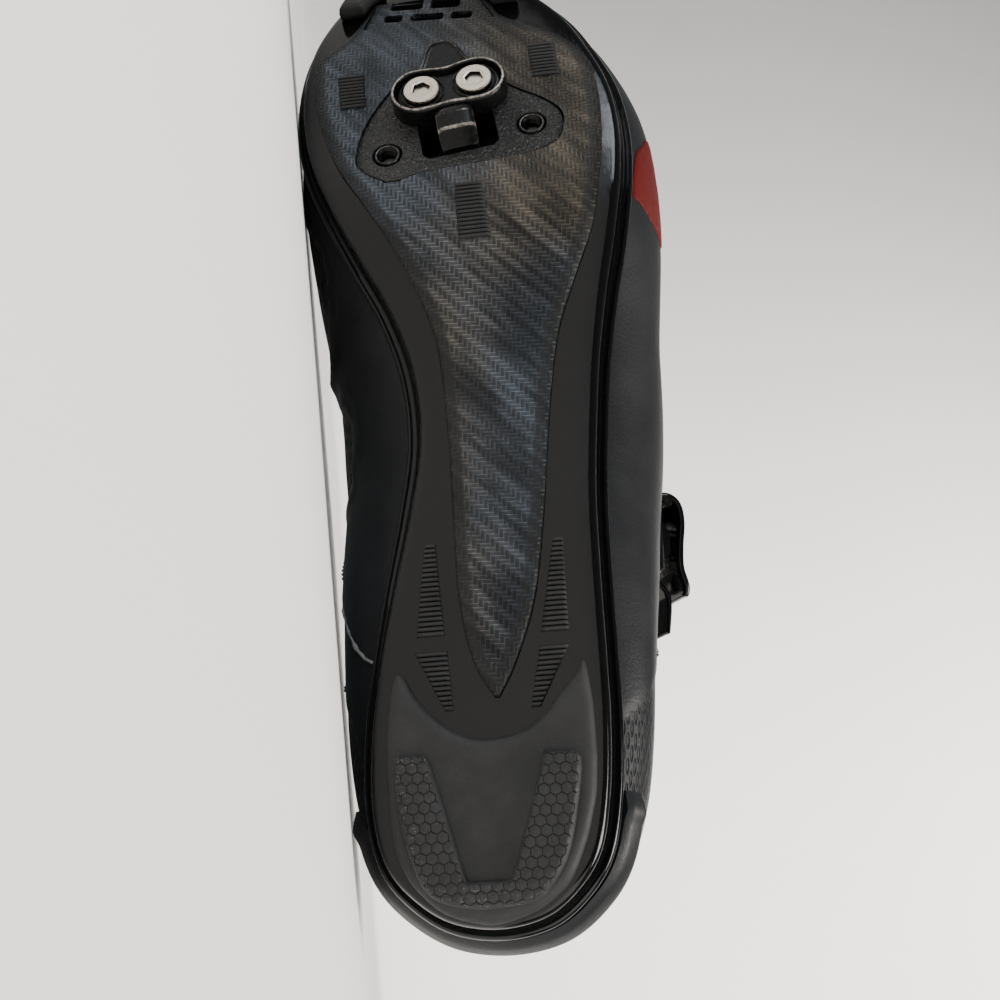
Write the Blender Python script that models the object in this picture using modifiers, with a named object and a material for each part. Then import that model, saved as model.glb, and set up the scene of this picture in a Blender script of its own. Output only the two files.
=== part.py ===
"""A left road cycling shoe with a two-bolt steel cleat.

The shoe is modelled upright: +X to its inner (medial) side, +Y to the toe, +Z up, the
heel's back at the origin. Sections along the last are tables of shares of the named sizes,
and every closed loop round the shoe starts at the heel's back, runs forward on the inner
side, round the toe and back on the outer side. At the end the shoe is laid on its inner
side, on the face of its convex hull that its weight comes to rest on.
"""
import math
from collections import namedtuple

import bmesh
import bpy
from mathutils import Matrix, Vector

# Driving sizes, in metres
LENGTH = 0.280
BALL_WIDTH = 0.0916
INSTEP_HEIGHT = 0.091
TOE_SPRING = 0.0326
TIP_SIDE = 0.007

# The sole shell
PLATE = 0.003
PROUD = 0.0022
LIP_WIDTH = 0.0022
LIP_LOW = 0.0067
LIP_HIGH = 0.0082
LIP_TOP = 0.0090
SEAT_WIDTH = 0.0031
BELLY_RISE = 0.0020

# The upper and what lies on or in it
WALL = 0.0020
COLLAR = 0.0065
TUCK = 0.0020
GAP = 0.0003
CLOTH_GAP = 0.0006
HEEL_CAP = 0.0016
STRAP = 0.0018
RATCHET = 0.0022
TONGUE = 0.0045
TONGUE_REACH = 0.007
TONGUE_DROP = 0.0016
TONGUE_TOP = 0.022
INSOLE = 0.0035

# Where they start and end: shares of the way up the upper, and counts of stations
PADDING_LOW = 0.55
PADDING_HIGH = 0.80
HEEL_CAP_REACH = 4.1
HEEL_CAP_LOW = 0.055
HEEL_CAP_TOP = 0.19
HEEL_CAP_CROWN = 0.10
TONGUE_CROWN = 0.30
TONGUE_LEAN = (0.0, -0.35, 0.75)
TONGUE_TAPER = 0.12
THROAT_LIP = 0.985
BRIDGE_CROWN = 0.11
BRIDGE_STEPS = 4
CLIMB_START = 0.55
CLIMB_END = 0.80

StrapPlace = namedtuple("StrapPlace", "name station width medial_from lateral_to skew")
STRAPS = [
    StrapPlace("strap_front", 15.20, 1.90, 0.62, 0.55, 0.00),
    StrapPlace("strap_middle", 12.20, 1.50, 0.66, 0.58, 0.00),
    StrapPlace("ratchet_strap", 9.95, 0.75, 0.72, 0.57, 1.30),
]

# What lies under the shell
PAD_LUG = 0.0050
PAD_PROUD = 0.0005
PAD_CROWDING = 1.7
INLAY = 0.0019
RIB = 0.0006
RIB_PITCH = 0.00175
INSERT_BEVEL = 0.0015
PAD_BEVEL = 0.0022
PAD_EDGE = 0.0008
LUG_BEVEL = 0.0011
LUG_EDGE = 0.0007
BUMPER_BEVEL = 0.0014
BUMPER_EDGE = 0.0012
DRILL = 0.02
WELD = 1e-6

# The cleat and its bolts. CLEAT_ALONG is a share of the shoe's length.
CLEAT_ALONG = 0.770714
CLEAT_SIDE = 0.0013
CLEAT_TURN = math.radians(-8.0)
CLEAT_WIDTH = 0.0310
CLEAT_LENGTH = 0.0155
CLEAT_HEIGHT = 0.0066
CLEAT_RIM = 0.0012
CLEAT_POCKET = 0.0026
NOSE_WIDTH = 0.0098
NOSE_REACH = 0.0190
NOSE_HEIGHT = 0.0052
FLAP_SIDE = [(0.40, 0.10), (0.36, 0.50), (0.24, 0.80), (0.185, 1.03), (0.155, 1.20), (0.115, 1.33),
             (0.06, 1.41)]
BOLT_SPACING = 0.0142
BOLT_HEAD = 0.0096
BOLT_HEAD_HEIGHT = 0.0012
BOLT_SHANK = 0.0050
BOLT_SOCKET = 0.0042
WASHER = 0.0008
THREAD_SPACING = 0.0388
THREAD_BACK = 0.0144
THREAD_BORE = 0.0050
THREAD_RING = 0.0070
CLEAT_ACROSS_INSERT = 0.528
CLEAT_ALONG_INSERT = 0.6405
FLAP_HEIGHT = 0.28
SHANK_RISE = 0.4
INSERT_WIDTH = 0.0552
INSERT_LENGTH = 0.0395
WINDOW_WIDTH = 0.0205
WINDOW_LENGTH = 0.0150

# The ratchet buckle
BUCKLE_STATION = 31.75
BUCKLE_WIDTH = 0.026
BUCKLE_BASE = 0.0024
BASE_LOW = 0.52
BASE_HIGH = 0.78
BASE_STATIONS = (-1.6, 0.4)
SEAT_SHIFT = -0.6
SEAT_HEIGHT = 0.66
LEVER_WIDTH = 0.019
LEVER_THICK = 0.0022
LEVER_RISE = 0.0070
TAB_WIDTH = 0.0133
TAB_THICK = 0.0016

# Bends of the lever and the tab, as shares of half the base's width and of the lever's rise
Bend = namedtuple("Bend", "along rise")
LEVER_BEND = [
    Bend(0.90, 0.00),
    Bend(0.92, 0.35),
    Bend(0.80, 0.68),
    Bend(0.45, 0.86),
    Bend(-0.10, 0.90),
    Bend(-0.55, 1.02),
    Bend(-0.92, 1.40),
    Bend(-1.10, 1.46),
]
TAB_BEND = [
    Bend(-0.86, 0.00),
    Bend(-0.98, 0.30),
    Bend(-1.25, 0.75),
    Bend(-1.95, 0.95),
]

SIDE_STEPS = 40
RIB_STEPS = 10

Station = namedtuple("Station", "along medial lateral")
OUTLINE = [
    Station(0.000, 0.000, 0.000),
    Station(0.008, 0.131, 0.131),
    Station(0.031, 0.231, 0.228),
    Station(0.061, 0.295, 0.290),
    Station(0.107, 0.325, 0.323),
    Station(0.164, 0.323, 0.338),
    Station(0.221, 0.301, 0.341),
    Station(0.293, 0.262, 0.342),
    Station(0.361, 0.221, 0.346),
    Station(0.429, 0.192, 0.362),
    Station(0.493, 0.205, 0.384),
    Station(0.552, 0.257, 0.417),
    Station(0.609, 0.338, 0.457),
    Station(0.666, 0.415, 0.487),
    Station(0.725, 0.476, 0.496),
    Station(0.786, 0.501, 0.473),
    Station(0.843, 0.491, 0.410),
    Station(0.893, 0.450, 0.332),
    Station(0.943, 0.365, 0.207),
    Station(0.984, 0.229, 0.071),
    Station(1.000, 0.076, -0.076),
]
LAST = len(OUTLINE) - 1
RING = 2 * LAST

Mouth = namedtuple("Mouth", "along side height")
MOUTH = [
    Mouth(0.018, 0.000, 0.990),
    Mouth(0.023, 0.098, 0.978),
    Mouth(0.043, 0.186, 0.934),
    Mouth(0.071, 0.240, 0.868),
    Mouth(0.114, 0.284, 0.791),
    Mouth(0.164, 0.300, 0.742),
    Mouth(0.214, 0.295, 0.736),
    Mouth(0.268, 0.273, 0.791),
    Mouth(0.321, 0.240, 0.890),
    Mouth(0.371, 0.213, 0.989),
    Mouth(0.418, 0.191, 0.990),
    Mouth(0.461, 0.180, 0.960),
    Mouth(0.500, 0.169, 0.922),
    Mouth(0.536, 0.158, 0.880),
    Mouth(0.568, 0.147, 0.842),
    Mouth(0.596, 0.136, 0.808),
    Mouth(0.621, 0.120, 0.780),
    Mouth(0.643, 0.098, 0.757),
    Mouth(0.661, 0.071, 0.738),
    Mouth(0.673, 0.038, 0.727),
    Mouth(0.679, 0.000, 0.722),
]
THROAT_TOP = 9

Swell = namedtuple("Swell", "medial lateral low shoulder drop flare_medial flare_lateral")
SWELL = [
    Swell(0.060, 0.060, 0.170, 0.040, 0.330, 0.044, 0.044),
    Swell(0.075, 0.075, 0.160, 0.070, 0.340, 0.046, 0.046),
    Swell(0.120, 0.115, 0.110, 0.105, 0.380, 0.049, 0.049),
    Swell(0.185, 0.160, 0.095, 0.150, 0.360, 0.060, 0.049),
    Swell(0.365, 0.262, 0.170, 0.210, 0.150, 0.076, 0.049),
    Swell(0.445, 0.320, 0.200, 0.225, 0.088, 0.076, 0.049),
    Swell(0.320, 0.255, 0.250, 0.240, 0.080, 0.066, 0.055),
    Swell(0.185, 0.235, 0.300, 0.250, 0.040, 0.060, 0.055),
    Swell(0.120, 0.265, 0.260, 0.300, 0.050, 0.055, 0.055),
    Swell(0.165, 0.190, 0.140, 0.380, 0.033, 0.055, 0.055),
    Swell(0.109, 0.109, 0.140, 0.437, 0.022, 0.055, 0.055),
]

Height = namedtuple("Height", "along rise")
UNDERSIDE = [
    Height(-0.030, 0.310),
    Height(0.010, 0.190),
    Height(0.046, 0.098),
    Height(0.135, 0.092),
    Height(0.243, 0.092),
    Height(0.332, 0.153),
    Height(0.421, 0.239),
    Height(0.511, 0.276),
    Height(0.590, 0.245),
    Height(0.640, 0.215),
    Height(0.686, 0.236),
    Height(0.729, 0.316),
    Height(0.771, 0.399),
    Height(0.814, 0.482),
    Height(0.857, 0.567),
    Height(0.900, 0.681),
    Height(0.950, 0.834),
    Height(1.000, 1.000),
    Height(1.030, 1.090),
]

Span = namedtuple("Span", "at low high")
PANEL = [
    Span(0.1893, -0.039, -0.026),
    Span(0.2179, -0.086, 0.020),
    Span(0.2700, -0.142, 0.051),
    Span(0.3421, -0.177, 0.059),
    Span(0.4214, -0.203, 0.066),
    Span(0.4786, -0.227, 0.076),
    Span(0.5232, -0.255, 0.092),
    Span(0.5714, -0.311, 0.140),
    Span(0.6171, -0.367, 0.201),
    Span(0.6611, -0.394, 0.274),
    Span(0.7064, -0.413, 0.350),
    Span(0.7632, -0.415, 0.410),
    Span(0.8136, -0.384, 0.432),
    Span(0.8464, -0.306, 0.426),
    Span(0.8679, -0.203, 0.358),
    Span(0.8857, -0.134, 0.312),
    Span(0.9045, -0.106, 0.280),
    Span(0.9230, -0.068, 0.252),
]
PANEL_BEVEL = 0.0034
PANEL_EDGE = 0.0006

INSERT = [
    Span(0.000, 0.785, 0.850),
    Span(0.046, 0.640, 0.905),
    Span(0.098, 0.210, 0.950),
    Span(0.165, 0.050, 0.985),
    Span(0.291, 0.000, 0.985),
    Span(0.443, 0.004, 0.960),
    Span(0.569, 0.082, 0.925),
    Span(0.729, 0.243, 0.860),
    Span(0.898, 0.350, 0.770),
    Span(0.960, 0.405, 0.690),
    Span(1.000, 0.480, 0.600),
]

HEEL_PAD_WIDTH = 0.0478
HEEL_PAD_LENGTH = 0.0575
HEEL_PAD_BACK = 0.0033
HEEL_PAD_SIDE = -0.0009
PAD = [
    Span(0.000, 0.600, 0.800),
    Span(0.015, 0.470, 0.930),
    Span(0.035, 0.400, 0.985),
    Span(0.075, 0.290, 0.930),
    Span(0.153, 0.155, 0.860),
    Span(0.230, 0.092, 0.785),
    Span(0.339, 0.038, 0.725),
    Span(0.515, 0.000, 0.700),
    Span(0.644, 0.014, 0.729),
    Span(0.759, 0.050, 0.800),
    Span(0.850, 0.115, 0.885),
    Span(0.916, 0.185, 0.985),
    Span(0.955, 0.262, 0.940),
    Span(0.985, 0.362, 0.800),
    Span(1.000, 0.560, 0.700),
]
LUG = [
    Span(0.072, 0.560, 0.600),
    Span(0.092, 0.459, 0.626),
    Span(0.130, 0.311, 0.628),
    Span(0.174, 0.210, 0.631),
    Span(0.247, 0.125, 0.633),
    Span(0.312, 0.077, 0.450),
    Span(0.429, 0.060, 0.155),
    Span(0.559, 0.054, 0.157),
    Span(0.636, 0.060, 0.160),
    Span(0.720, 0.075, 0.430),
    Span(0.797, 0.106, 0.648),
    Span(0.850, 0.160, 0.650),
    Span(0.897, 0.268, 0.652),
    Span(0.939, 0.426, 0.654),
    Span(0.955, 0.560, 0.620),
]

# Middle and length of each patch: shares of the way from the heel pad's front to the toe for
# the rib patches, and of the shoe's length for the grip patches
Patch = namedtuple("Patch", "name along low_back high_back low_front high_front length")
RIB_PATCHES = [
    Patch("rib_patch_medial_rear", -0.0142, 0.078, 0.100, 0.088, 0.172, 0.0639),
    Patch("rib_patch_medial_front", 0.0867, 0.092, 0.165, 0.109, 0.137, 0.1047),
    Patch("rib_patch_lateral_rear", -0.0168, -0.140, -0.116, -0.222, -0.146, 0.0639),
    Patch("rib_patch_lateral_front", 0.0822, -0.223, -0.152, -0.224, -0.198, 0.1047),
]
GRIP_PATCHES = [
    Patch("grip_patch_middle", 0.6407, -0.085, 0.007, -0.068, 0.009, 0.057),
    Patch("grip_patch_medial", 0.7980, 0.268, 0.345, 0.277, 0.357, 0.043),
    Patch("grip_patch_lateral", 0.8110, -0.309, -0.228, -0.295, -0.216, 0.043),
]

BUMPER = 0.0040
BUMPER_MEDIAL = [
    Span(0.9090, 0.285, 0.362),
    Span(0.9240, 0.262, 0.345),
    Span(0.9390, 0.225, 0.308),
]
BUMPER_LATERAL = [
    Span(0.9040, -0.192, -0.112),
    Span(0.9190, -0.168, -0.085),
    Span(0.9340, -0.130, -0.048),
]

# Slots through the panel's neck and the shell: the middle and length of each as shares of the
# shoe's length, and all in rows turned by VENT_TURN
Slot = namedtuple("Slot", "along low high length")
VENT_TURN = 0.092
VENTS = [
    Slot(0.8859, 0.163, 0.221, 0.0110),
    Slot(0.8859, 0.035, 0.138, 0.0110),
    Slot(0.8859, -0.053, 0.014, 0.0110),
    Slot(0.9075, 0.099, 0.201, 0.0193),
    Slot(0.9075, -0.017, 0.076, 0.0193),
]


def make_material(name, colour, roughness, metallic=0.0):
    material = bpy.data.materials.new(name)
    material.use_nodes = True
    shader = material.node_tree.nodes["Principled BSDF"]
    shader.inputs["Base Color"].default_value = (*colour, 1.0)
    shader.inputs["Roughness"].default_value = roughness
    shader.inputs["Metallic"].default_value = metallic
    return material


def curve_through(values, at, closed):
    """A Catmull-Rom curve through evenly numbered values."""
    count = len(values)
    base = math.floor(at)
    t = at - base

    def value(index):
        if closed:
            return values[index % count]
        return values[min(max(index, 0), count - 1)]

    a, b, c, d = (value(base + step) for step in (-1, 0, 1, 2))
    return 0.5 * (2 * b + (c - a) * t + (2 * a - 5 * b + 4 * c - d) * t ** 2
                  + (3 * b - a - 3 * c + d) * t ** 3)


def height_through(table, at):
    """A smooth curve through rows that are unevenly spaced along their first column."""
    rows = len(table)
    upper = 1
    while upper < rows - 1 and table[upper][0] < at:
        upper += 1
    lower = upper - 1

    def slope(index):
        before = max(index - 1, 0)
        after = min(index + 1, rows - 1)
        return (table[after][1] - table[before][1]) / (table[after][0] - table[before][0])

    x0, y0 = table[lower][0], table[lower][1]
    x1, y1 = table[upper][0], table[upper][1]
    step = x1 - x0
    t = min(max((at - x0) / step, 0.0), 1.0)
    ease = t * t * (3 - 2 * t)
    return (y0 + ease * (y1 - y0) + step * slope(lower) * t * (1 - t) ** 2
            - step * slope(upper) * t * t * (1 - t))


def ring_column(table, medial, lateral, sign):
    """One value for each station round the shoe, the outer side's times sign."""
    inner = [getattr(row, medial) for row in table]
    outer = [sign * getattr(row, lateral) for row in table[1:-1]]
    return inner + outer[::-1]


RIM_ALONG = ring_column(OUTLINE, "along", "along", 1)
RIM_SIDE = ring_column(OUTLINE, "medial", "lateral", -1)
MOUTH_ALONG = ring_column(MOUTH, "along", "along", 1)
MOUTH_SIDE = ring_column(MOUTH, "side", "side", -1)
MOUTH_HEIGHT = ring_column(MOUTH, "height", "height", 1)
SWELL_OUT = ring_column(SWELL, "medial", "lateral", 1)
SWELL_LOW = ring_column(SWELL, "low", "low", 1)
SWELL_SHOULDER = ring_column(SWELL, "shoulder", "shoulder", 1)
SWELL_DROP = ring_column(SWELL, "drop", "drop", 1)
SWELL_FLARE = ring_column(SWELL, "flare_medial", "flare_lateral", 1)


def underside(along):
    """Height of the panel's face over the ground, at a length from the heel."""
    return TOE_SPRING * height_through(UNDERSIDE, along / LENGTH)


def swell(column, station):
    return curve_through(column, station / 2, True)


def rim_plan(station):
    return Vector((BALL_WIDTH * curve_through(RIM_SIDE, station, True),
                   LENGTH * curve_through(RIM_ALONG, station, True), 0.0))


def rim_outward(station):
    ahead = rim_plan(station + 0.05) - rim_plan(station - 0.05)
    return Vector((ahead.y, -ahead.x, 0.0)).normalized()


def rim_point(station, inset, rise):
    """A point inside the rim's outline, at a height over the shell's floor."""
    point = rim_plan(station) - inset * rim_outward(station)
    point.z = underside(point.y) + PROUD + rise
    return point


def mouth_point(station):
    along = LENGTH * curve_through(MOUTH_ALONG, station, True)
    swing = TIP_SIDE * (along / LENGTH) ** 2
    return Vector((BALL_WIDTH * curve_through(MOUTH_SIDE, station, True) + swing, along,
                   INSTEP_HEIGHT * curve_through(MOUTH_HEIGHT, station, True)))


def upper_point(station, t):
    """The upper's outer face: t runs from 0 over the tuck in the rim to 1 at the mouth."""
    outward = rim_outward(station)
    foot = rim_point(station, LIP_WIDTH + GAP, LIP_TOP + TUCK)
    top = mouth_point(station)
    side = rim_plan(station) + BALL_WIDTH * swell(SWELL_OUT, station) * outward
    side.z = foot.z + INSTEP_HEIGHT * swell(SWELL_LOW, station)
    shoulder = top + BALL_WIDTH * swell(SWELL_SHOULDER, station) * outward
    shoulder.z = top.z - INSTEP_HEIGHT * swell(SWELL_DROP, station)
    s = 1 - t
    return s ** 3 * foot + 3 * s * s * t * side + 3 * s * t * t * shoulder + t ** 3 * top


def upper_outward(station, t):
    low, high = max(t - 0.02, 0.0), min(t + 0.02, 1.0)
    up = upper_point(station, high) - upper_point(station, low)
    ahead = upper_point(station + 0.1, t) - upper_point(station - 0.1, t)
    return ahead.cross(up).normalized()


def over_upper(station, t, lift):
    return upper_point(station, t) + lift * upper_outward(station, t)


def new_object(name, mesh, material):
    piece = bpy.data.objects.new(name, mesh)
    bpy.context.scene.collection.objects.link(piece)
    piece.data.materials.clear()
    piece.data.materials.append(material)
    return piece


def finish_mesh(name, bm, material):
    bmesh.ops.recalc_face_normals(bm, faces=bm.faces)
    mesh = bpy.data.meshes.new(name)
    bm.to_mesh(mesh)
    bm.free()
    return new_object(name, mesh, material)


def quads_between(bm, first, second, closed):
    count = len(first)
    for index in range(count if closed else count - 1):
        after = (index + 1) % count
        bm.faces.new((first[index], first[after], second[after], second[index]))


def close_across(bm, ring):
    """Close a loop round the shoe with strips from its inner to its outer side."""
    count = len(ring)
    half = count // 2
    bm.faces.new((ring[0], ring[1], ring[-1]))
    bm.faces.new((ring[half], ring[half + 1], ring[half - 1]))
    for index in range(1, half - 1):
        bm.faces.new((ring[index], ring[index + 1], ring[count - index - 1], ring[count - index]))


def stations():
    count = 2 * SIDE_STEPS
    return [RING * index / count for index in range(count)]


def add_loft(name, rings, material):
    bm = bmesh.new()
    loops = [[bm.verts.new(point) for point in ring] for ring in rings]
    for first, second in zip(loops, loops[1:]):
        quads_between(bm, first, second, True)
    close_across(bm, loops[0])
    close_across(bm, loops[-1])
    return finish_mesh(name, bm, material)


def add_slab(name, under, over, material):
    """A closed slab between two grids of points with the same rows and columns."""
    bm = bmesh.new()
    low = [[bm.verts.new(point) for point in row] for row in under]
    high = [[bm.verts.new(point) for point in row] for row in over]
    for grid in (low, high):
        for first, second in zip(grid, grid[1:]):
            quads_between(bm, first, second, False)
    quads_between(bm, low[0], high[0], False)
    quads_between(bm, low[-1], high[-1], False)
    quads_between(bm, [row[0] for row in low], [row[0] for row in high], False)
    quads_between(bm, [row[-1] for row in low], [row[-1] for row in high], False)
    return finish_mesh(name, bm, material)


def cut(piece, cutter):
    """Take the cutter out of the piece, and the cutter out of the scene."""
    combine(piece, cutter, "DIFFERENCE")


def combine(piece, other, operation):
    change = piece.modifiers.new(operation.lower(), "BOOLEAN")
    change.operation = operation
    change.solver = "EXACT"
    change.object = other
    bpy.context.view_layer.update()
    depsgraph = bpy.context.evaluated_depsgraph_get()
    mesh = bpy.data.meshes.new_from_object(piece.evaluated_get(depsgraph))
    piece.modifiers.clear()
    piece.data = mesh
    bpy.data.objects.remove(other)


def tidy(piece, merge):
    """Dissolve what a Boolean leaves in flat faces and merge its slivers."""
    bm = bmesh.new()
    bm.from_mesh(piece.data)
    bmesh.ops.remove_doubles(bm, verts=bm.verts, dist=merge)
    bm.to_mesh(piece.data)
    bm.free()


def span_rows(table, width, length, per_row):
    """Rows between a table's spans: (place along, low edge, high edge) in metres."""
    rows = []
    steps = per_row * (len(table) - 1)
    for step in range(steps + 1):
        at = step / per_row
        rows.append((length * curve_through([row.at for row in table], at, False),
                     width * curve_through([row.low for row in table], at, False),
                     width * curve_through([row.high for row in table], at, False)))
    return rows


def across(low, high, bevel, columns, crowding):
    """Places from one edge to the other, with the two edges' bevels kept narrow.

    A crowding over 1 puts more of them near the low edge.
    """
    edge = min(bevel, 0.3 * (high - low))
    reach = high - low - 2 * edge
    inner = [low + edge + reach * (step / columns) ** crowding for step in range(columns + 1)]
    return [low] + inner + [high]


def add_plate(name, rows, columns, base, face, bevel, edge, material, crosswise=False, crowding=1.0):
    """A plate under the shell, from rows of spans. Its face follows the underside.

    base and face are heights over the panel's own face; the face's edge lies higher by edge.
    """
    under, over = [], []
    for index, (along, low, high) in enumerate(rows):
        ends = index in (0, len(rows) - 1)
        face_row, base_row = [], []
        places = across(low, high, bevel, columns, crowding)
        for column, place in enumerate(places):
            x, y = (along, place) if crosswise else (place, along)
            rim = ends or column in (0, len(places) - 1)
            ground = underside(y)
            face_row.append(Vector((x, y, ground + face + (edge if rim else 0.0))))
            base_row.append(Vector((x, y, ground + base)))
        under.append(face_row)
        over.append(base_row)
    return add_slab(name, under, over, material)


def add_prism(name, outline, low, high, material):
    """A closed prism over a plane outline."""
    bm = bmesh.new()
    bottom = bm.faces.new([bm.verts.new((x, y, low)) for x, y in outline])
    rise = bmesh.ops.extrude_face_region(bm, geom=[bottom])
    top = [item for item in rise["geom"] if isinstance(item, bmesh.types.BMVert)]
    bmesh.ops.translate(bm, verts=top, vec=(0.0, 0.0, high - low))
    return finish_mesh(name, bm, material)


def add_cylinder(name, radius, low, high, sides, material):
    bm = bmesh.new()
    bmesh.ops.create_cone(bm, cap_ends=True, segments=sides, radius1=radius, radius2=radius,
                          depth=high - low, matrix=Matrix.Translation((0, 0, (low + high) / 2)))
    return finish_mesh(name, bm, material)


def stadium(width, length, sides, side=0.0, along=0.0):
    """An outline with two round ends."""
    radius = length / 2
    reach = width / 2 - radius
    points = []
    for end, start in ((1, -90), (-1, 90)):
        for step in range(sides + 1):
            angle = math.radians(start + 180 * step / sides)
            points.append((side + end * reach + radius * math.cos(angle),
                           along + radius * math.sin(angle)))
    return points


def add_sole_shell(plastic):
    """The shell: floor, flared side, rounded rim lip, seat for the upper, and its inside."""
    def ring(inset_share, inset, rise):
        points = []
        for station in stations():
            flare = BALL_WIDTH * swell(SWELL_FLARE, station)
            points.append(rim_point(station, inset_share * flare + inset, rise))
        return points

    lip_edge = 0.3 * LIP_WIDTH
    seat_inset = LIP_WIDTH + SEAT_WIDTH
    rings = [
        ring(1.0, 0.0, 0.0),
        ring(0.45, 0.0, BELLY_RISE),
        ring(0.0, 0.5 * LIP_WIDTH, LIP_LOW - lip_edge),
        ring(0.0, 0.0, LIP_LOW + 0.2 * lip_edge),
        ring(0.0, 0.0, LIP_HIGH),
        ring(0.0, lip_edge, LIP_TOP),
        ring(0.0, LIP_WIDTH - lip_edge, LIP_TOP),
        ring(0.0, LIP_WIDTH, LIP_TOP - lip_edge),
        ring(0.0, seat_inset, LIP_TOP - lip_edge),
        ring(0.45, SEAT_WIDTH + PLATE, BELLY_RISE + PLATE),
        ring(1.0, PLATE, PLATE),
    ]
    shell = add_loft("sole_shell", rings, plastic)
    for vent in VENTS:
        cut(shell, vent_cutter(vent, plastic))
    tidy(shell, WELD)
    return shell


def vent_cutter(vent, material):
    depth = 3 * PLATE
    middle = BALL_WIDTH * (vent.low + vent.high) / 2
    along = LENGTH * vent.along + VENT_TURN * middle
    side, end = BALL_WIDTH * (vent.high - vent.low) / 2, LENGTH * vent.length / 2
    slope = math.atan2(underside(along + end) - underside(along - end), 2 * end)
    outline = [(-side, -end), (side, -end), (side, end), (-side, end)]
    cutter = add_prism("vent", outline, -depth, depth, material)
    place = Matrix.Translation((middle, along, underside(along) + PROUD))
    turn = Matrix.Rotation(slope, 4, "X") @ Matrix.Rotation(VENT_TURN, 4, "Z")
    cutter.data.transform(place @ turn)
    return cutter


def add_panel(finish):
    rows = span_rows(PANEL, BALL_WIDTH, LENGTH, 2)
    panel = add_plate("carbon_panel", rows, 2, INLAY, 0.0, PANEL_BEVEL, PANEL_EDGE, finish)
    hole = insert_plate("insert_hole", finish, GAP, 3 * INLAY)
    cut(panel, hole)
    for vent in VENTS:
        cut(panel, vent_cutter(vent, finish))
    tidy(panel, WELD)
    return panel


def insert_rows(clearance):
    """The insert's spans, wider by the clearance all round."""
    left = CLEAT_SIDE - CLEAT_ACROSS_INSERT * INSERT_WIDTH
    back = LENGTH * CLEAT_ALONG - CLEAT_ALONG_INSERT * INSERT_LENGTH
    rows = []
    for along, low, high in span_rows(INSERT, INSERT_WIDTH, INSERT_LENGTH, 2):
        rows.append([back + along, left + low - clearance, left + high + clearance])
    rows[0][0] -= clearance
    rows[-1][0] += clearance
    return rows


def insert_plate(name, material, clearance, reach):
    face = 0.0 if clearance == 0.0 else -reach
    base = INLAY if clearance == 0.0 else reach
    return add_plate(name, insert_rows(clearance), 1, base, face, INSERT_BEVEL, 0.0, material)


def cleat_frame():
    """The plane that the cleat is bolted to: its middle, its slope and its turn."""
    along, reach = LENGTH * CLEAT_ALONG, CLEAT_LENGTH / 2
    slope = math.atan2(underside(along + reach) - underside(along - reach), 2 * reach)
    place = Matrix.Translation((CLEAT_SIDE, along, underside(along)))
    return place @ Matrix.Rotation(slope, 4, "X") @ Matrix.Rotation(CLEAT_TURN, 4, "Z")


def bolt_places():
    return {"medial": Vector((BOLT_SPACING / 2, 0, 0)), "lateral": Vector((-BOLT_SPACING / 2, 0, 0))}


def thread_places():
    return {"medial": Vector((THREAD_SPACING / 2, -THREAD_BACK, 0)),
            "lateral": Vector((-THREAD_SPACING / 2, -THREAD_BACK, 0))}


def hole_through(piece, radius, at, frame):
    cutter = add_cylinder("bore", radius, -DRILL, DRILL, 20, piece.data.materials[0])
    cutter.data.transform(frame @ Matrix.Translation(at))
    cut(piece, cutter)


def add_cleat_insert(finish):
    """The plate with the window behind the cleat, two bolt holes and two threaded holes."""
    insert = insert_plate("cleat_insert", finish, 0.0, 0.0)
    frame = cleat_frame()
    half, back = WINDOW_WIDTH / 2, -NOSE_REACH
    outline = [(-half, back), (half, back), (half, back + WINDOW_LENGTH),
               (-half, back + WINDOW_LENGTH)]
    window = add_prism("window", outline, -DRILL, DRILL, finish)
    window.data.transform(frame)
    cut(insert, window)
    for place in thread_places().values():
        hole_through(insert, THREAD_RING / 2 + GAP, place, frame)
    return insert


def add_threaded_rings(steel):
    frame = cleat_frame()
    for side, place in thread_places().items():
        ring = add_cylinder(f"threaded_ring_{side}", THREAD_RING / 2, -0.0002, INLAY, 20, steel)
        bore = add_cylinder("bore", THREAD_BORE / 2, -DRILL, DRILL, 20, steel)
        cut(ring, bore)
        ring.data.transform(frame @ Matrix.Translation(place))


def add_cleat(steel):
    """The cup with its rim round the bolts, the nose behind it and the low flap before it."""
    body = add_prism("cleat", stadium(CLEAT_WIDTH, CLEAT_LENGTH, 8), -CLEAT_HEIGHT, -GAP, steel)
    half = NOSE_WIDTH / 2
    nose_outline = [(-half, -NOSE_REACH), (half, -NOSE_REACH), (half, 0.0), (-half, 0.0)]
    nose = add_prism("nose", nose_outline, -NOSE_HEIGHT, -NOSE_HEIGHT / 3, steel)
    combine(body, nose, "UNION")
    right = [(CLEAT_WIDTH * side, CLEAT_LENGTH * along) for side, along in FLAP_SIDE]
    flap_outline = right + [(-side, along) for side, along in reversed(right)]
    flap = add_prism("flap", flap_outline, -FLAP_HEIGHT * CLEAT_HEIGHT, -GAP, steel)
    combine(body, flap, "UNION")
    inner = stadium(CLEAT_WIDTH - 2 * CLEAT_RIM, CLEAT_LENGTH - 2 * CLEAT_RIM, 8)
    pocket = add_prism("pocket", inner, -2 * CLEAT_HEIGHT, CLEAT_POCKET - CLEAT_HEIGHT, steel)
    cut(body, pocket)
    for place in bolt_places().values():
        hole_through(body, BOLT_SHANK / 2 + GAP, place, Matrix.Identity(4))
    tidy(body, WELD)
    body.data.transform(cleat_frame())


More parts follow.
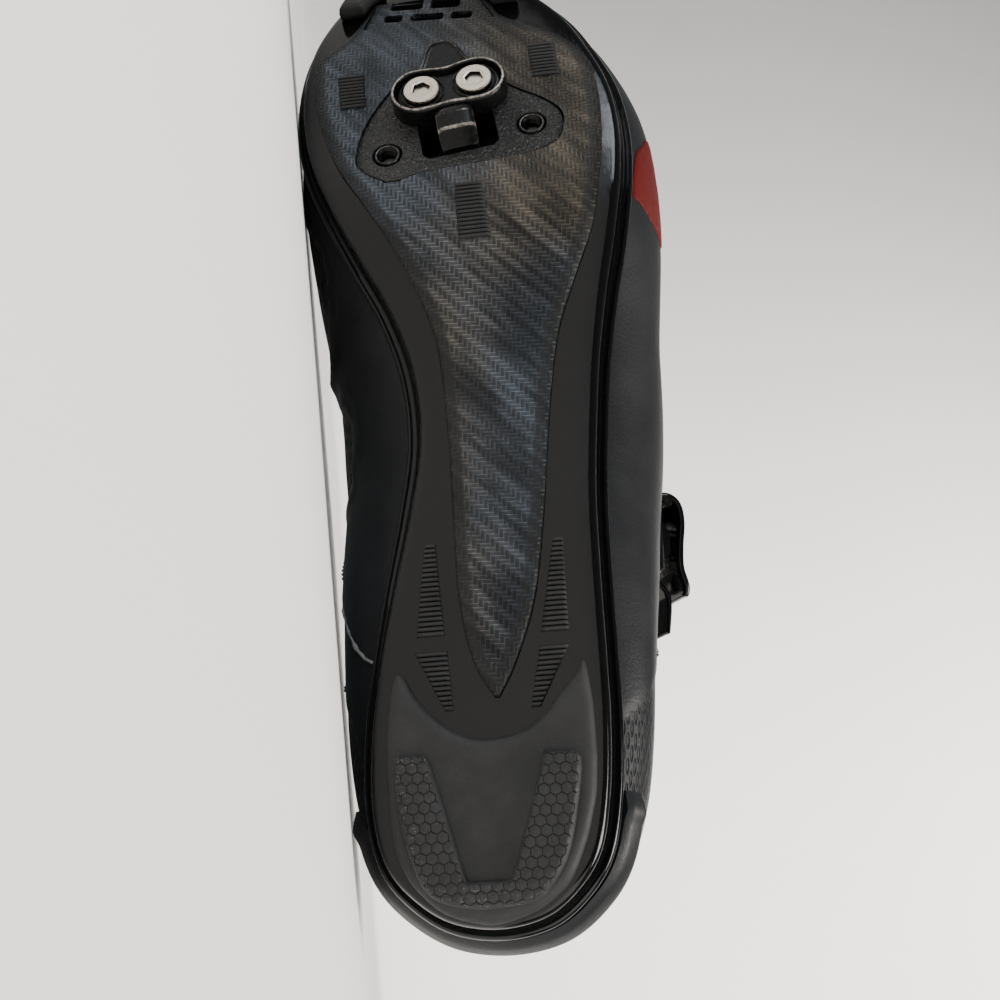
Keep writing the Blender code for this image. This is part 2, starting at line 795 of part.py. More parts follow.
def add_cleat_fastening(steel, nickel):
    """The washer plate in the pocket and the two bolts with their hex sockets."""
    frame = cleat_frame()
    floor = CLEAT_POCKET - CLEAT_HEIGHT
    slack = 2 * CLEAT_RIM + 4 * GAP
    washer_outline = stadium(CLEAT_WIDTH - slack, CLEAT_LENGTH - slack, 8)
    washer_top = floor - GAP - WASHER
    washer = add_prism("cleat_washer", washer_outline, washer_top, floor - GAP, steel)
    for place in bolt_places().values():
        hole_through(washer, BOLT_SHANK / 2 + GAP, place, Matrix.Identity(4))
    washer.data.transform(frame)
    head_low = washer_top - GAP
    for side, place in bolt_places().items():
        bolt = add_cylinder(f"cleat_screw_{side}", BOLT_HEAD / 2, head_low - BOLT_HEAD_HEIGHT,
                            head_low, 20, nickel)
        shank = add_cylinder("shank", BOLT_SHANK / 2, head_low - SHANK_RISE * BOLT_HEAD_HEIGHT,
                             -2 * GAP, 16, nickel)
        combine(bolt, shank, "UNION")
        socket = add_cylinder("socket", BOLT_SOCKET / 2 / math.cos(math.radians(30)),
                              head_low - 2 * BOLT_HEAD_HEIGHT, head_low + BOLT_HEAD_HEIGHT, 6, nickel)
        cut(bolt, socket)
        tidy(bolt, WELD)
        bolt.data.transform(frame @ Matrix.Translation(place))


def add_heel_pad(rubber):
    """The pad with two horns, and the raised lug round a recess, in one moulding."""
    def place(table, per_row):
        rows = span_rows(table, HEEL_PAD_LENGTH, HEEL_PAD_WIDTH, per_row)
        return [(HEEL_PAD_SIDE - HEEL_PAD_WIDTH / 2 + at, HEEL_PAD_BACK + low,
                 HEEL_PAD_BACK + high) for at, low, high in rows]

    pad = add_plate("heel_pad", place(PAD, 1), 6, INLAY, -PAD_PROUD, PAD_BEVEL, PAD_EDGE, rubber,
                    True, PAD_CROWDING)
    lug = add_plate("lug", place(LUG, 1), 3, PAD_PROUD, INLAY - PAD_LUG, LUG_BEVEL, LUG_EDGE, rubber,
                    True)
    combine(pad, lug, "UNION")
    tidy(pad, 2 * WELD)
    return pad


def add_ribbed_patch(patch, start, face, base, material):
    """A patch of fine ribs that run across the shoe, slanted rows between its two ends.

    The patch's shares are of the way from start to the toe.
    """
    way = LENGTH - start
    length = way * patch.length
    count = max(int(length / RIB_PITCH), 2)
    under, over = [], []
    for step in range(2 * count + 1):
        share = step / (2 * count)
        y = start + way * patch.along - length / 2 + share * length
        low = BALL_WIDTH * (patch.low_back + share * (patch.low_front - patch.low_back))
        high = BALL_WIDTH * (patch.high_back + share * (patch.high_front - patch.high_back))
        drop = RIB if step % 2 else 0.0
        under.append([Vector((x, y, underside(y) + face - drop)) for x in (low, high)])
        over.append([Vector((x, y, underside(y) + base)) for x in (low, high)])
    return add_slab(patch.name, under, over, material)


def smooth(low, high, value):
    share = min(max((value - low) / (high - low), 0.0), 1.0)
    return share * share * (3 - 2 * share)


def collar_padding(station, t):
    """How far the wall swells to the padded collar: round the ankle, towards the mouth."""
    from_heel = min(station, RING - station)
    return (smooth(PADDING_LOW, PADDING_HIGH, t)
            * (1 - smooth(THROAT_TOP - 3, THROAT_TOP - 1, from_heel)))


def add_upper(leather):
    """One hollow shell, from the rim's seat to the mouth, open above and underneath."""
    bm = bmesh.new()
    rings = [[rim_point(station, LIP_WIDTH + GAP, LIP_TOP - 0.3 * LIP_WIDTH + GAP)
              for station in stations()]]
    for step in range(RIB_STEPS + 1):
        rings.append([upper_point(station, step / RIB_STEPS) for station in stations()])
    loops = [[bm.verts.new(point) for point in ring] for ring in rings]
    for first, second in zip(loops, loops[1:]):
        quads_between(bm, first, second, True)
    bmesh.ops.recalc_face_normals(bm, faces=bm.faces)
    outer = [vert.co.copy() for vert in loops[4]]
    bm.normal_update()
    if loops[4][SIDE_STEPS // 2].normal.dot(outer[SIDE_STEPS // 2] - outer[-SIDE_STEPS // 2]) < 0:
        bmesh.ops.reverse_faces(bm, faces=bm.faces)
    mesh = bpy.data.meshes.new("upper")
    bm.to_mesh(mesh)
    bm.free()
    upper = new_object("upper", mesh, leather)
    padding = upper.vertex_groups.new(name="padding")
    count = len(rings[0])
    for level in range(1, len(rings)):
        t = (level - 1) / RIB_STEPS
        for index, station in enumerate(stations()):
            weight = collar_padding(station, t)
            if weight > 0:
                padding.add([level * count + index], weight, "REPLACE")
    wall = upper.modifiers.new("wall", "SOLIDIFY")
    wall.thickness = COLLAR
    wall.vertex_group = padding.name
    wall.thickness_vertex_group = WALL / COLLAR
    wall.offset = -1.0
    return upper


def add_patch_on_upper(name, columns, lift, thickness, material):
    """A slab over the upper. columns holds rows of (station, t); lift is a number for each."""
    under, over = [], []
    for row in columns:
        under.append([over_upper(station, t, lift) for station, t in row])
        over.append([over_upper(station, t, lift + thickness) for station, t in row])
    return add_slab(name, under, over, material)


def add_heel_cap(leather):
    """The strip round the heel, just over the rim, ending in thick sewn edges."""
    rows = []
    for step in range(17):
        station = HEEL_CAP_REACH * (step / 8 - 1)
        top = HEEL_CAP_TOP + HEEL_CAP_CROWN * (1 - (station / HEEL_CAP_REACH) ** 2)
        rows.append([(station, HEEL_CAP_LOW + (top - HEEL_CAP_LOW) * level / 3)
                     for level in range(4)])
    return add_patch_on_upper("heel_cap", rows, CLOTH_GAP, HEEL_CAP, leather)


def add_tongue(leather):
    """Arched under the throat's edges, and standing up above them in front of the ankle."""
    under, over = [], []
    levels = 8
    rows = [THROAT_TOP + 0.02 + index for index in range(LAST - THROAT_TOP - 2)]
    edges = []
    for station in rows:
        medial, lateral = mouth_point(station), mouth_point(RING - station)
        half = (medial.x - lateral.x) / 2
        tucked = (TONGUE_REACH + WALL) * smooth(THROAT_TOP, THROAT_TOP + 2, station) - WALL - GAP
        edges.append(((medial + lateral) / 2, half, half + tucked))
    top_centre, top_half, top_reach = edges[0]
    back = (top_centre - edges[2][0]).normalized()
    lean = (back + Vector(TONGUE_LEAN)).normalized()
    for rise in (0.5, 1.0):
        narrowed = top_reach - TONGUE_TAPER * rise * top_half
        edges.insert(0, (top_centre + rise * TONGUE_TOP * lean, top_half, narrowed))
    for centre, half, reach in edges:
        crown = TONGUE_CROWN * half
        low_row, high_row = [], []
        for column in range(levels + 1):
            x = reach * (2 * column / levels - 1)
            z = centre.z - WALL - TONGUE_DROP - crown * ((x / half) ** 2 - 1)
            high_row.append(Vector((centre.x + x, centre.y, z)))
            low_row.append(Vector((centre.x + x, centre.y, z - TONGUE)))
        under.append(low_row)
        over.append(high_row)
    return add_slab("tongue", under, over, leather)


def add_insole(fabric):
    def ring(extra, rise):
        points = []
        for station in stations():
            inset = BALL_WIDTH * swell(SWELL_FLARE, station) + extra
            points.append(rim_point(station, inset, rise))
        return points

    edge = PLATE + 4 * GAP
    rings = [ring(edge, PLATE + 2 * GAP), ring(edge, PLATE + INSOLE)]
    return add_loft("insole", rings, fabric)


def strap_rows(place):
    """Grid over the upper from the inner side, across the throat, to the outer side.

    The place's skew moves its outer end, in stations towards the heel.
    """
    across_steps, wide_steps = 5, 3
    rows = []
    for wide in range(wide_steps + 1):
        here = place.station + place.width * (wide / wide_steps - 0.5)
        beyond = RING - here
        row = []
        for step in range(across_steps + 1):
            t = place.medial_from + (THROAT_LIP - place.medial_from) * step / across_steps
            row.append((upper_point(here, t), upper_outward(here, t)))
        a, b = upper_point(here, THROAT_LIP), upper_point(beyond, THROAT_LIP)
        left, right = upper_outward(here, THROAT_LIP), upper_outward(beyond, THROAT_LIP)
        for step in range(1, BRIDGE_STEPS):
            share = step / BRIDGE_STEPS
            point = a.lerp(b, share)
            point.z += BRIDGE_CROWN * (a.x - b.x) * 4 * share * (1 - share)
            row.append((point, left.lerp(right, share).normalized()))
        for step in range(across_steps + 1):
            share = step / across_steps
            t = THROAT_LIP + (place.lateral_to - THROAT_LIP) * share
            slanted = beyond + place.skew * share
            row.append((upper_point(slanted, t), upper_outward(slanted, t)))
        rows.append(row)
    return rows


def add_strap(name, rows, lift, thickness, material):
    """lift is called with the share of the way along the strap."""
    under, over = [], []
    for row in rows:
        last = len(row) - 1
        lifts = [lift(index / last) for index in range(len(row))]
        under.append([point + up * height for (point, up), height in zip(row, lifts)])
        over.append([point + up * (height + thickness) for (point, up), height in zip(row, lifts)])
    return add_slab(name, under, over, material)


def climb(share):
    """Lift of the ratchet strap, which climbs on to the buckle's base at its outer end."""
    return CLOTH_GAP + (BUCKLE_BASE + GAP) * smooth(CLIMB_START, CLIMB_END, share)


def add_straps(leather, plastic):
    front, middle, ratchet = STRAPS
    for place in (front, middle):
        add_strap(place.name, strap_rows(place), lambda share: CLOTH_GAP, STRAP, leather)
    add_strap(ratchet.name, strap_rows(ratchet), climb, RATCHET, plastic)


def buckle_frame():
    """On the outer side: X runs to the toe, Y up the rib, Z out of the upper."""
    station = BUCKLE_STATION + SEAT_SHIFT
    out = upper_outward(station, SEAT_HEIGHT)
    toe = Vector((0, 1, 0))
    toe = (toe - toe.dot(out) * out).normalized()
    up = out.cross(toe)
    turn = Matrix((toe, up, out)).transposed().to_4x4()
    return Matrix.Translation(upper_point(station, SEAT_HEIGHT)) @ turn


def base_face(along):
    """Height of the base's outer face in the buckle's frame, at a place along its X axis."""
    inverse = buckle_frame().inverted()
    nearest, height = None, 0.0
    first, last = BASE_STATIONS
    for wide in range(41):
        for level in range(27):
            station = BUCKLE_STATION + first + (last - first) * wide / 40
            t = BASE_LOW + (BASE_HIGH - BASE_LOW) * level / 26
            point = inverse @ over_upper(station, t, BUCKLE_BASE)
            away = math.hypot(point.x - along, point.y)
            if nearest is None or away < nearest:
                nearest, height = away, point.z
    return height


def add_bent_plate(name, bend, width, thickness, material):
    """A plate bent along (along, height) points, as thick square to each of its stretches."""
    under, over = [], []
    last = len(bend) - 1
    for index, (along, height) in enumerate(bend):
        before, after = bend[max(index - 1, 0)], bend[min(index + 1, last)]
        run = Vector((before[0] - after[0], before[1] - after[1])).normalized()
        sides = (-width / 2, width / 2)
        under.append([Vector((along, side, height)) for side in sides])
        over.append([Vector((along - thickness * run.y, side, height + thickness * run.x))
                     for side in sides])
    return add_slab(name, under, over, material)


def add_buckle(plastic):
    """Base on the upper, lever arched over the ratchet strap, and the flat release tab."""
    rows = []
    first, last = BASE_STATIONS
    for wide in range(5):
        station = BUCKLE_STATION + first + (last - first) * wide / 4
        rows.append([(station, BASE_LOW + (BASE_HIGH - BASE_LOW) * level / 4) for level in range(5)])
    add_patch_on_upper("buckle_base", rows, CLOTH_GAP, BUCKLE_BASE - CLOTH_GAP, plastic)
    for name, bend, width, thickness in (("buckle_lever", LEVER_BEND, LEVER_WIDTH, LEVER_THICK),
                                         ("buckle_tab", TAB_BEND, TAB_WIDTH, TAB_THICK)):
        half = BUCKLE_WIDTH / 2
        seat = base_face(half * bend[0].along) + GAP
        profile = [(half * along, seat + LEVER_RISE * rise) for along, rise in bend]
        plate = add_bent_plate(name, profile, width, thickness, plastic)
        plate.data.transform(buckle_frame())


def add_toe_bumpers(rubber):
    """The two rubber blocks at the toe, of which the photo shows the rear ends."""
    for side, table in (("medial", BUMPER_MEDIAL), ("lateral", BUMPER_LATERAL)):
        rows = span_rows(table, BALL_WIDTH, LENGTH, 2)
        add_plate(f"toe_bumper_{side}", rows, 1, INLAY, -BUMPER, BUMPER_BEVEL, BUMPER_EDGE,
                  rubber)


def outer_points(piece):
    mesh = piece.evaluated_get(bpy.context.evaluated_depsgraph_get()).to_mesh()
    points = [vert.co.copy() for vert in mesh.vertices]
    piece.evaluated_get(bpy.context.evaluated_depsgraph_get()).to_mesh_clear()
    return points


def centre_of_mass(pieces):
    """Of the solid volumes, all of one density."""
    depsgraph = bpy.context.evaluated_depsgraph_get()
    total, moment = 0.0, Vector()
    for piece in pieces:
        mesh = piece.evaluated_get(depsgraph).to_mesh()
        mesh.calc_loop_triangles()
        for triangle in mesh.loop_triangles:
            a, b, c = (mesh.vertices[index].co for index in triangle.vertices)
            volume = a.dot(b.cross(c)) / 6
            total += volume
            moment += volume * (a + b + c) / 4
        piece.evaluated_get(depsgraph).to_mesh_clear()
    return moment / total


def resting_down(pieces):
    """The way down when the shoe lies still on its inner side, its sole's edge on the floor.

    It is the normal of the hull's face that the centre of mass stands over, on that side,
    and that has a corner on the sole shell.
    """
    bm = bmesh.new()
    on_shell = bm.verts.layers.int.new("on_shell")
    for piece in pieces:
        for point in outer_points(piece):
            bm.verts.new(point)[on_shell] = piece.name == "sole_shell"
    hull = bmesh.ops.convex_hull(bm, input=bm.verts)
    faces = [item for item in hull["geom"] if isinstance(item, bmesh.types.BMFace)]
    centre = centre_of_mass(pieces)
    down = Vector((1, 0, 0))
    best = 0.0
    for face in faces:
        normal = face.normal.copy()
        corners = [vert.co for vert in face.verts]
        if normal.dot(corners[0] - centre) < 0:
            normal.negate()
        foot = centre + normal * (corners[0] - centre).dot(normal)
        turns = [(after - corner).cross(foot - corner).dot(normal)
                 for corner, after in zip(corners, corners[1:] + corners[:1])]
        stands = min(turns) >= 0 or max(turns) <= 0
        if stands and normal.x > best and any(vert[on_shell] for vert in face.verts):
            down, best = normal, normal.x
    bm.free()
    return down


def lay_down(pieces):
    """Parent every piece to one empty and lay that on the floor, toe to the left."""
    holder = bpy.data.objects.new("shoe", None)
    bpy.context.scene.collection.objects.link(holder)
    up = -resting_down(pieces)
    left = Vector((0, 1, 0))
    left = (left - left.dot(up) * up).normalized()
    turn = Matrix((-left, left.cross(up), up)).to_4x4()
    points = [turn @ point for piece in pieces for point in outer_points(piece)]
    lows = [min(point[axis] for point in points) for axis in range(3)]
    highs = [max(point[axis] for point in points) for axis in range(3)]
    shift = Vector((-(lows[0] + highs[0]) / 2, -(lows[1] + highs[1]) / 2, -lows[2]))
    holder.matrix_world = Matrix.Translation(shift) @ turn
    for piece in pieces:
        piece.parent = holder
    bpy.context.view_layer.update()


def main():
    for piece in list(bpy.data.objects):
        bpy.data.objects.remove(piece)
    glossy = make_material("glossy_shell", (0.012, 0.012, 0.013), 0.12)
    carbon = make_material("carbon_look", (0.045, 0.045, 0.05), 0.38)
    grained = make_material("grained_plastic", (0.035, 0.034, 0.033), 0.5)
    leather = make_material("synthetic_leather", (0.022, 0.023, 0.025), 0.55)
    rubber = make_material("matte_rubber", (0.03, 0.03, 0.032), 0.7)
    fabric = make_material("insole_fabric", (0.05, 0.05, 0.055), 0.9)
    steel = make_material("black_steel", (0.06, 0.055, 0.05), 0.35, 1.0)
    nickel = make_material("nickel", (0.75, 0.70, 0.62), 0.25, 1.0)

    add_sole_shell(glossy)
    add_panel(carbon)
    add_cleat_insert(grained)
    add_threaded_rings(steel)
    add_cleat(steel)
    add_cleat_fastening(steel, nickel)
    add_heel_pad(rubber)
    pad_front = HEEL_PAD_BACK + HEEL_PAD_LENGTH
    for patch in RIB_PATCHES:
        add_ribbed_patch(patch, pad_front, PROUD - GAP - RIB, PROUD - GAP, glossy)
    for patch in GRIP_PATCHES:
        add_ribbed_patch(patch, 0.0, -2 * GAP, -GAP, grained)
    add_toe_bumpers(rubber)
    add_upper(leather)
    add_heel_cap(leather)
    add_tongue(leather)
    add_insole(fabric)
    add_straps(leather, glossy)
    add_buckle(glossy)

    bpy.context.view_layer.update()
    lay_down([piece for piece in bpy.data.objects if piece.type == "MESH"])


main()
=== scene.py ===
"""Looks of a left road cycling shoe that lies on its inner side.

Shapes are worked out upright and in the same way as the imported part: +X to the inner
side, +Y to the toe, +Z up, the heel's back at the origin, in metres. lay() then puts a
piece where the shoe lies. A station runs round the shoe: 0 at the heel's back, 0 to 20
along the inner side to the toe, 20 to 40 back along the outer side. t runs up the upper,
from 0 at the rim of the sole to 1 at the mouth.
"""
import math
from collections import namedtuple
from functools import lru_cache

import bmesh
import bpy
import numpy as np
from bpy.props import FloatProperty, FloatVectorProperty, PointerProperty
from bpy.types import Operator, Panel, PropertyGroup
from mathutils import Matrix, Vector


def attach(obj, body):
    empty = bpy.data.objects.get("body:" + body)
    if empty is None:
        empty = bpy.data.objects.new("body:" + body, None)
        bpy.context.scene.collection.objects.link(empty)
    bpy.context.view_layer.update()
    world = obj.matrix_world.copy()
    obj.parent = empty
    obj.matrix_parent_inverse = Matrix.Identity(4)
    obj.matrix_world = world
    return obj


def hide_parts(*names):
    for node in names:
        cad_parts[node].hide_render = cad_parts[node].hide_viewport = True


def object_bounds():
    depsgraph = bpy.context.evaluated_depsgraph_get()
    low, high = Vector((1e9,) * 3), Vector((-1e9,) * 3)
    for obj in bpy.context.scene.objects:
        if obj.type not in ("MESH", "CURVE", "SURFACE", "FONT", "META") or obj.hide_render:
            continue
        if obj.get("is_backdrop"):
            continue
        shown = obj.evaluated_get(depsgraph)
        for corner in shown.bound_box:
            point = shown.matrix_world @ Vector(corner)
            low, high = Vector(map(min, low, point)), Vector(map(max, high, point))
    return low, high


bl_info = {
    "name": "Cycling shoe looks",
    "version": (1, 0, 0),
    "blender": (4, 5, 0),
    "location": "View3D > Sidebar > Shoe",
    "description": "Builds the visible pieces, finishes and stage of a cycling shoe on its frame",
    "category": "Object",
}

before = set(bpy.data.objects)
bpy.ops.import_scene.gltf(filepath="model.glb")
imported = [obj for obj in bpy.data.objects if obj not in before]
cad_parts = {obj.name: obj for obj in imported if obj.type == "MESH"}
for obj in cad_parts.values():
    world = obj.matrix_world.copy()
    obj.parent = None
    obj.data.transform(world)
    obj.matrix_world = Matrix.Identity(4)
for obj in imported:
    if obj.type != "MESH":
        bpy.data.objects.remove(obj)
CAD_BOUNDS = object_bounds()

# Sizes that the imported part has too, in metres
LENGTH = 0.280
BALL_WIDTH = 0.0916
INSTEP_HEIGHT = 0.091
TOE_SPRING = 0.0326
TIP_SIDE = 0.007
PLATE = 0.003
PROUD = 0.0022
LIP_WIDTH = 0.0022
LIP_TOP = 0.0090
SEAT_WIDTH = 0.0031
WALL = 0.0020
COLLAR = 0.0065
TUCK = 0.0020
GAP = 0.0003
MM = 0.001

# How far the back of a plate is sunk into the shell that it lies on
SUNK = 0.0019

# How the shoe lies: its upright axes turned and shifted on to the floor
LAY = Matrix((
    (-0.053143, -0.998530, 0.010624, 0.137902),
    (0.196049, 0.000000, 0.980594, -0.049373),
    (-0.979153, 0.054195, 0.195761, 0.028625),
    (0.0, 0.0, 0.0, 1.0),
))
UPRIGHT = LAY.inverted()


def named(kind, rows):
    """Rows of numbers with the names of their columns."""
    return [kind(*row) for row in rows]


# Shares of the length and of the ball's width, from the heel to the toe
Station = namedtuple("Station", "along medial lateral")
OUTLINE = named(Station, [
    (0.000, 0.000, 0.000), (0.008, 0.131, 0.131), (0.031, 0.231, 0.228), (0.061, 0.295, 0.290),
    (0.107, 0.325, 0.323), (0.164, 0.323, 0.338), (0.221, 0.301, 0.341), (0.293, 0.262, 0.342),
    (0.361, 0.221, 0.346), (0.429, 0.192, 0.362), (0.493, 0.205, 0.384), (0.552, 0.257, 0.417),
    (0.609, 0.338, 0.457), (0.666, 0.415, 0.487), (0.725, 0.476, 0.496), (0.786, 0.501, 0.473),
    (0.843, 0.491, 0.410), (0.893, 0.450, 0.332), (0.943, 0.365, 0.207), (0.984, 0.229, 0.071),
    (1.000, 0.076, -0.076),
])
LAST = len(OUTLINE) - 1
RING = 2 * LAST

Mouth = namedtuple("Mouth", "along side height")
MOUTH = named(Mouth, [
    (0.018, 0.000, 0.990), (0.023, 0.098, 0.978), (0.043, 0.186, 0.934), (0.071, 0.240, 0.868),
    (0.114, 0.284, 0.791), (0.164, 0.300, 0.742), (0.214, 0.295, 0.736), (0.268, 0.273, 0.791),
    (0.321, 0.240, 0.890), (0.371, 0.213, 0.989), (0.418, 0.191, 0.990), (0.461, 0.180, 0.960),
    (0.500, 0.169, 0.922), (0.536, 0.158, 0.880), (0.568, 0.147, 0.842), (0.596, 0.136, 0.808),
    (0.621, 0.120, 0.780), (0.643, 0.098, 0.757), (0.661, 0.071, 0.738), (0.673, 0.038, 0.727),
    (0.679, 0.000, 0.722),
])
THROAT_TOP = 9

Swell = namedtuple("Swell", "medial lateral low shoulder drop flare_medial flare_lateral")
SWELL = named(Swell, [
    (0.060, 0.060, 0.170, 0.040, 0.330, 0.044, 0.044),
    (0.075, 0.075, 0.160, 0.070, 0.340, 0.046, 0.046),
    (0.120, 0.115, 0.110, 0.105, 0.380, 0.049, 0.049),
    (0.185, 0.160, 0.095, 0.150, 0.360, 0.060, 0.049),
    (0.365, 0.262, 0.170, 0.210, 0.150, 0.076, 0.049),
    (0.445, 0.320, 0.200, 0.225, 0.088, 0.076, 0.049),
    (0.320, 0.255, 0.250, 0.240, 0.080, 0.066, 0.055),
    (0.185, 0.235, 0.300, 0.250, 0.040, 0.060, 0.055),
    (0.120, 0.265, 0.260, 0.300, 0.050, 0.055, 0.055),
    (0.165, 0.190, 0.140, 0.380, 0.033, 0.055, 0.055),
    (0.109, 0.109, 0.140, 0.437, 0.022, 0.055, 0.055),
])

Height = namedtuple("Height", "along rise")
UNDERSIDE = named(Height, [
    (-0.030, 0.310), (0.010, 0.190), (0.046, 0.098), (0.135, 0.092), (0.243, 0.092), (0.332, 0.153),
    (0.421, 0.239), (0.511, 0.276), (0.590, 0.245), (0.640, 0.215), (0.686, 0.236), (0.729, 0.316),
    (0.771, 0.399), (0.814, 0.482), (0.857, 0.567), (0.900, 0.681), (0.950, 0.834), (1.000, 1.000),
    (1.030, 1.090),
])

Span = namedtuple("Span", "at low high")
PANEL = named(Span, [
    (0.1893, -0.039, -0.026), (0.2179, -0.086, 0.020), (0.2700, -0.142, 0.051), (0.3421, -0.177, 0.059),
    (0.4214, -0.203, 0.066), (0.4786, -0.227, 0.076), (0.5232, -0.255, 0.092), (0.5714, -0.311, 0.140),
    (0.6171, -0.367, 0.201), (0.6611, -0.394, 0.274), (0.7064, -0.413, 0.350), (0.7632, -0.415, 0.410),
    (0.8136, -0.384, 0.432), (0.8464, -0.306, 0.426), (0.8679, -0.203, 0.358), (0.8857, -0.134, 0.312),
    (0.9045, -0.106, 0.280), (0.9230, -0.068, 0.252),
])
INSERT = named(Span, [
    (0.000, 0.785, 0.850), (0.046, 0.640, 0.905), (0.098, 0.210, 0.950), (0.165, 0.050, 0.985),
    (0.291, 0.000, 0.985), (0.443, 0.004, 0.960), (0.569, 0.082, 0.925), (0.729, 0.243, 0.860),
    (0.898, 0.350, 0.770), (0.960, 0.405, 0.690), (1.000, 0.480, 0.600),
])
HEEL_PAD = named(Span, [
    (0.000, 0.600, 0.800), (0.015, 0.470, 0.930), (0.035, 0.400, 0.985), (0.075, 0.290, 0.930),
    (0.153, 0.155, 0.860), (0.230, 0.092, 0.785), (0.339, 0.038, 0.725), (0.515, 0.000, 0.700),
    (0.644, 0.014, 0.729), (0.759, 0.050, 0.800), (0.850, 0.115, 0.885), (0.916, 0.185, 0.985),
    (0.955, 0.262, 0.940), (0.985, 0.362, 0.800), (1.000, 0.560, 0.700),
])
HEEL_LUG = named(Span, [
    (0.072, 0.560, 0.600), (0.092, 0.459, 0.626), (0.130, 0.311, 0.628), (0.174, 0.210, 0.631),
    (0.247, 0.125, 0.633), (0.312, 0.077, 0.450), (0.429, 0.060, 0.155), (0.559, 0.054, 0.157),
    (0.636, 0.060, 0.160), (0.720, 0.075, 0.430), (0.797, 0.106, 0.648), (0.850, 0.160, 0.650),
    (0.897, 0.268, 0.652), (0.939, 0.426, 0.654), (0.955, 0.560, 0.620),
])
HEEL_PAD_WIDTH = 0.0478
HEEL_PAD_LENGTH = 0.0575
HEEL_PAD_BACK = 0.0033
HEEL_PAD_SIDE = -0.0009
BUMPER_MEDIAL = [Span(0.9090, 0.285, 0.362), Span(0.9240, 0.262, 0.345), Span(0.9390, 0.225, 0.308)]
BUMPER_LATERAL = [Span(0.9040, -0.192, -0.112), Span(0.9190, -0.168, -0.085),
                  Span(0.9340, -0.130, -0.048)]

Patch = namedtuple("Patch", "name along low_back high_back low_front high_front length")
RIB_PATCHES = [
    Patch("rib_patch_medial_rear", 0.2060, 0.078, 0.100, 0.088, 0.172, 0.050),
    Patch("rib_patch_medial_front", 0.2850, 0.092, 0.165, 0.109, 0.137, 0.082),
    Patch("rib_patch_lateral_rear", 0.2040, -0.140, -0.116, -0.222, -0.146, 0.050),
    Patch("rib_patch_lateral_front", 0.2815, -0.223, -0.152, -0.224, -0.198, 0.082),
]
GRIP_PATCHES = [
    Patch("grip_patch_middle", 0.6407, -0.085, 0.007, -0.068, 0.009, 0.057),
    Patch("grip_patch_medial", 0.7980, 0.268, 0.345, 0.277, 0.357, 0.043),
    Patch("grip_patch_lateral", 0.8110, -0.309, -0.228, -0.295, -0.216, 0.043),
]
Slot = namedtuple("Slot", "along low high length")
VENTS = named(Slot, [
    (0.8859, 0.163, 0.221, 0.0110), (0.8859, 0.035, 0.138, 0.0110), (0.8859, -0.053, 0.014, 0.0110),
    (0.9075, 0.099, 0.201, 0.0193), (0.9075, -0.017, 0.076, 0.0193),
])
VENT_TURN = 0.092

# The cleat, its bolts and the threaded rings beside it
CLEAT_ALONG = 0.2158
CLEAT_SIDE = 0.0013
CLEAT_TURN = math.radians(-8.0)
CLEAT_WIDTH = 0.0310
CLEAT_LENGTH = 0.0155
CLEAT_HEIGHT = 0.0066
CLEAT_RIM = 0.0012
CLEAT_POCKET = 0.0026
NOSE_WIDTH = 0.0098
NOSE_REACH = 0.0190
NOSE_HEIGHT = 0.0052
BOLT_SPACING = 0.0142
BOLT_HEAD = 0.0096
BOLT_HEAD_HEIGHT = 0.0012
BOLT_SOCKET = 0.0042
THREAD_SPACING = 0.0388
THREAD_BACK = 0.0144
THREAD_BORE = 0.0050
THREAD_RING = 0.0070
CLEAT_ACROSS_INSERT = 0.528
CLEAT_ALONG_INSERT = 0.6405
INSERT_WIDTH = 0.0552
INSERT_LENGTH = 0.0395
WINDOW_WIDTH = 0.0205
WINDOW_LENGTH = 0.0150
FLAP_SIDE = [(0.40, 0.10), (0.385, 0.35), (0.36, 0.50), (0.30, 0.66), (0.24, 0.80), (0.205, 0.92),
             (0.185, 1.03), (0.155, 1.20), (0.115, 1.33), (0.085, 1.38), (0.035, 1.41)]
CLEAT_WAIST = 0.0011

# The buckle on the outer side
BUCKLE_STATION = 31.75
BUCKLE_WIDTH = 0.026
BUCKLE_BASE = 0.0024


def curve_through(values, at, closed):
    """A smooth curve through values at 0, 1, 2 and so on, round again if closed."""
    count = len(values)
    index = math.floor(at)
    t = at - index

    def value(place):
        if closed:
            return values[place % count]
        return values[min(max(place, 0), count - 1)]

    a, b, c, d = (value(index + step) for step in (-1, 0, 1, 2))
    return 0.5 * (2 * b + (c - a) * t + (2 * a - 5 * b + 4 * c - d) * t ** 2
                  + (3 * b - a - 3 * c + d) * t ** 3)


def height_through(table, at):
    """A smooth curve through rows that are unevenly spaced along their first column."""
    rows = len(table)
    upper = 1
    while upper < rows - 1 and table[upper][0] < at:
        upper += 1
    lower = upper - 1

    def slope(index):
        before, after = max(index - 1, 0), min(index + 1, rows - 1)
        return (table[after][1] - table[before][1]) / (table[after][0] - table[before][0])

    x0, y0 = table[lower][0], table[lower][1]
    x1, y1 = table[upper][0], table[upper][1]
    step = x1 - x0
    t = min(max((at - x0) / step, 0.0), 1.0)
    ease = t * t * (3 - 2 * t)
    return (y0 + ease * (y1 - y0) + step * slope(lower) * t * (1 - t) ** 2
            - step * slope(upper) * t * t * (1 - t))


def ring_column(table, medial, lateral, sign):
    """One value for each station round the shoe, the outer side's times sign."""
    inner = [getattr(row, medial) for row in table]
    outer = [sign * getattr(row, lateral) for row in table[1:-1]]
    return inner + outer[::-1]


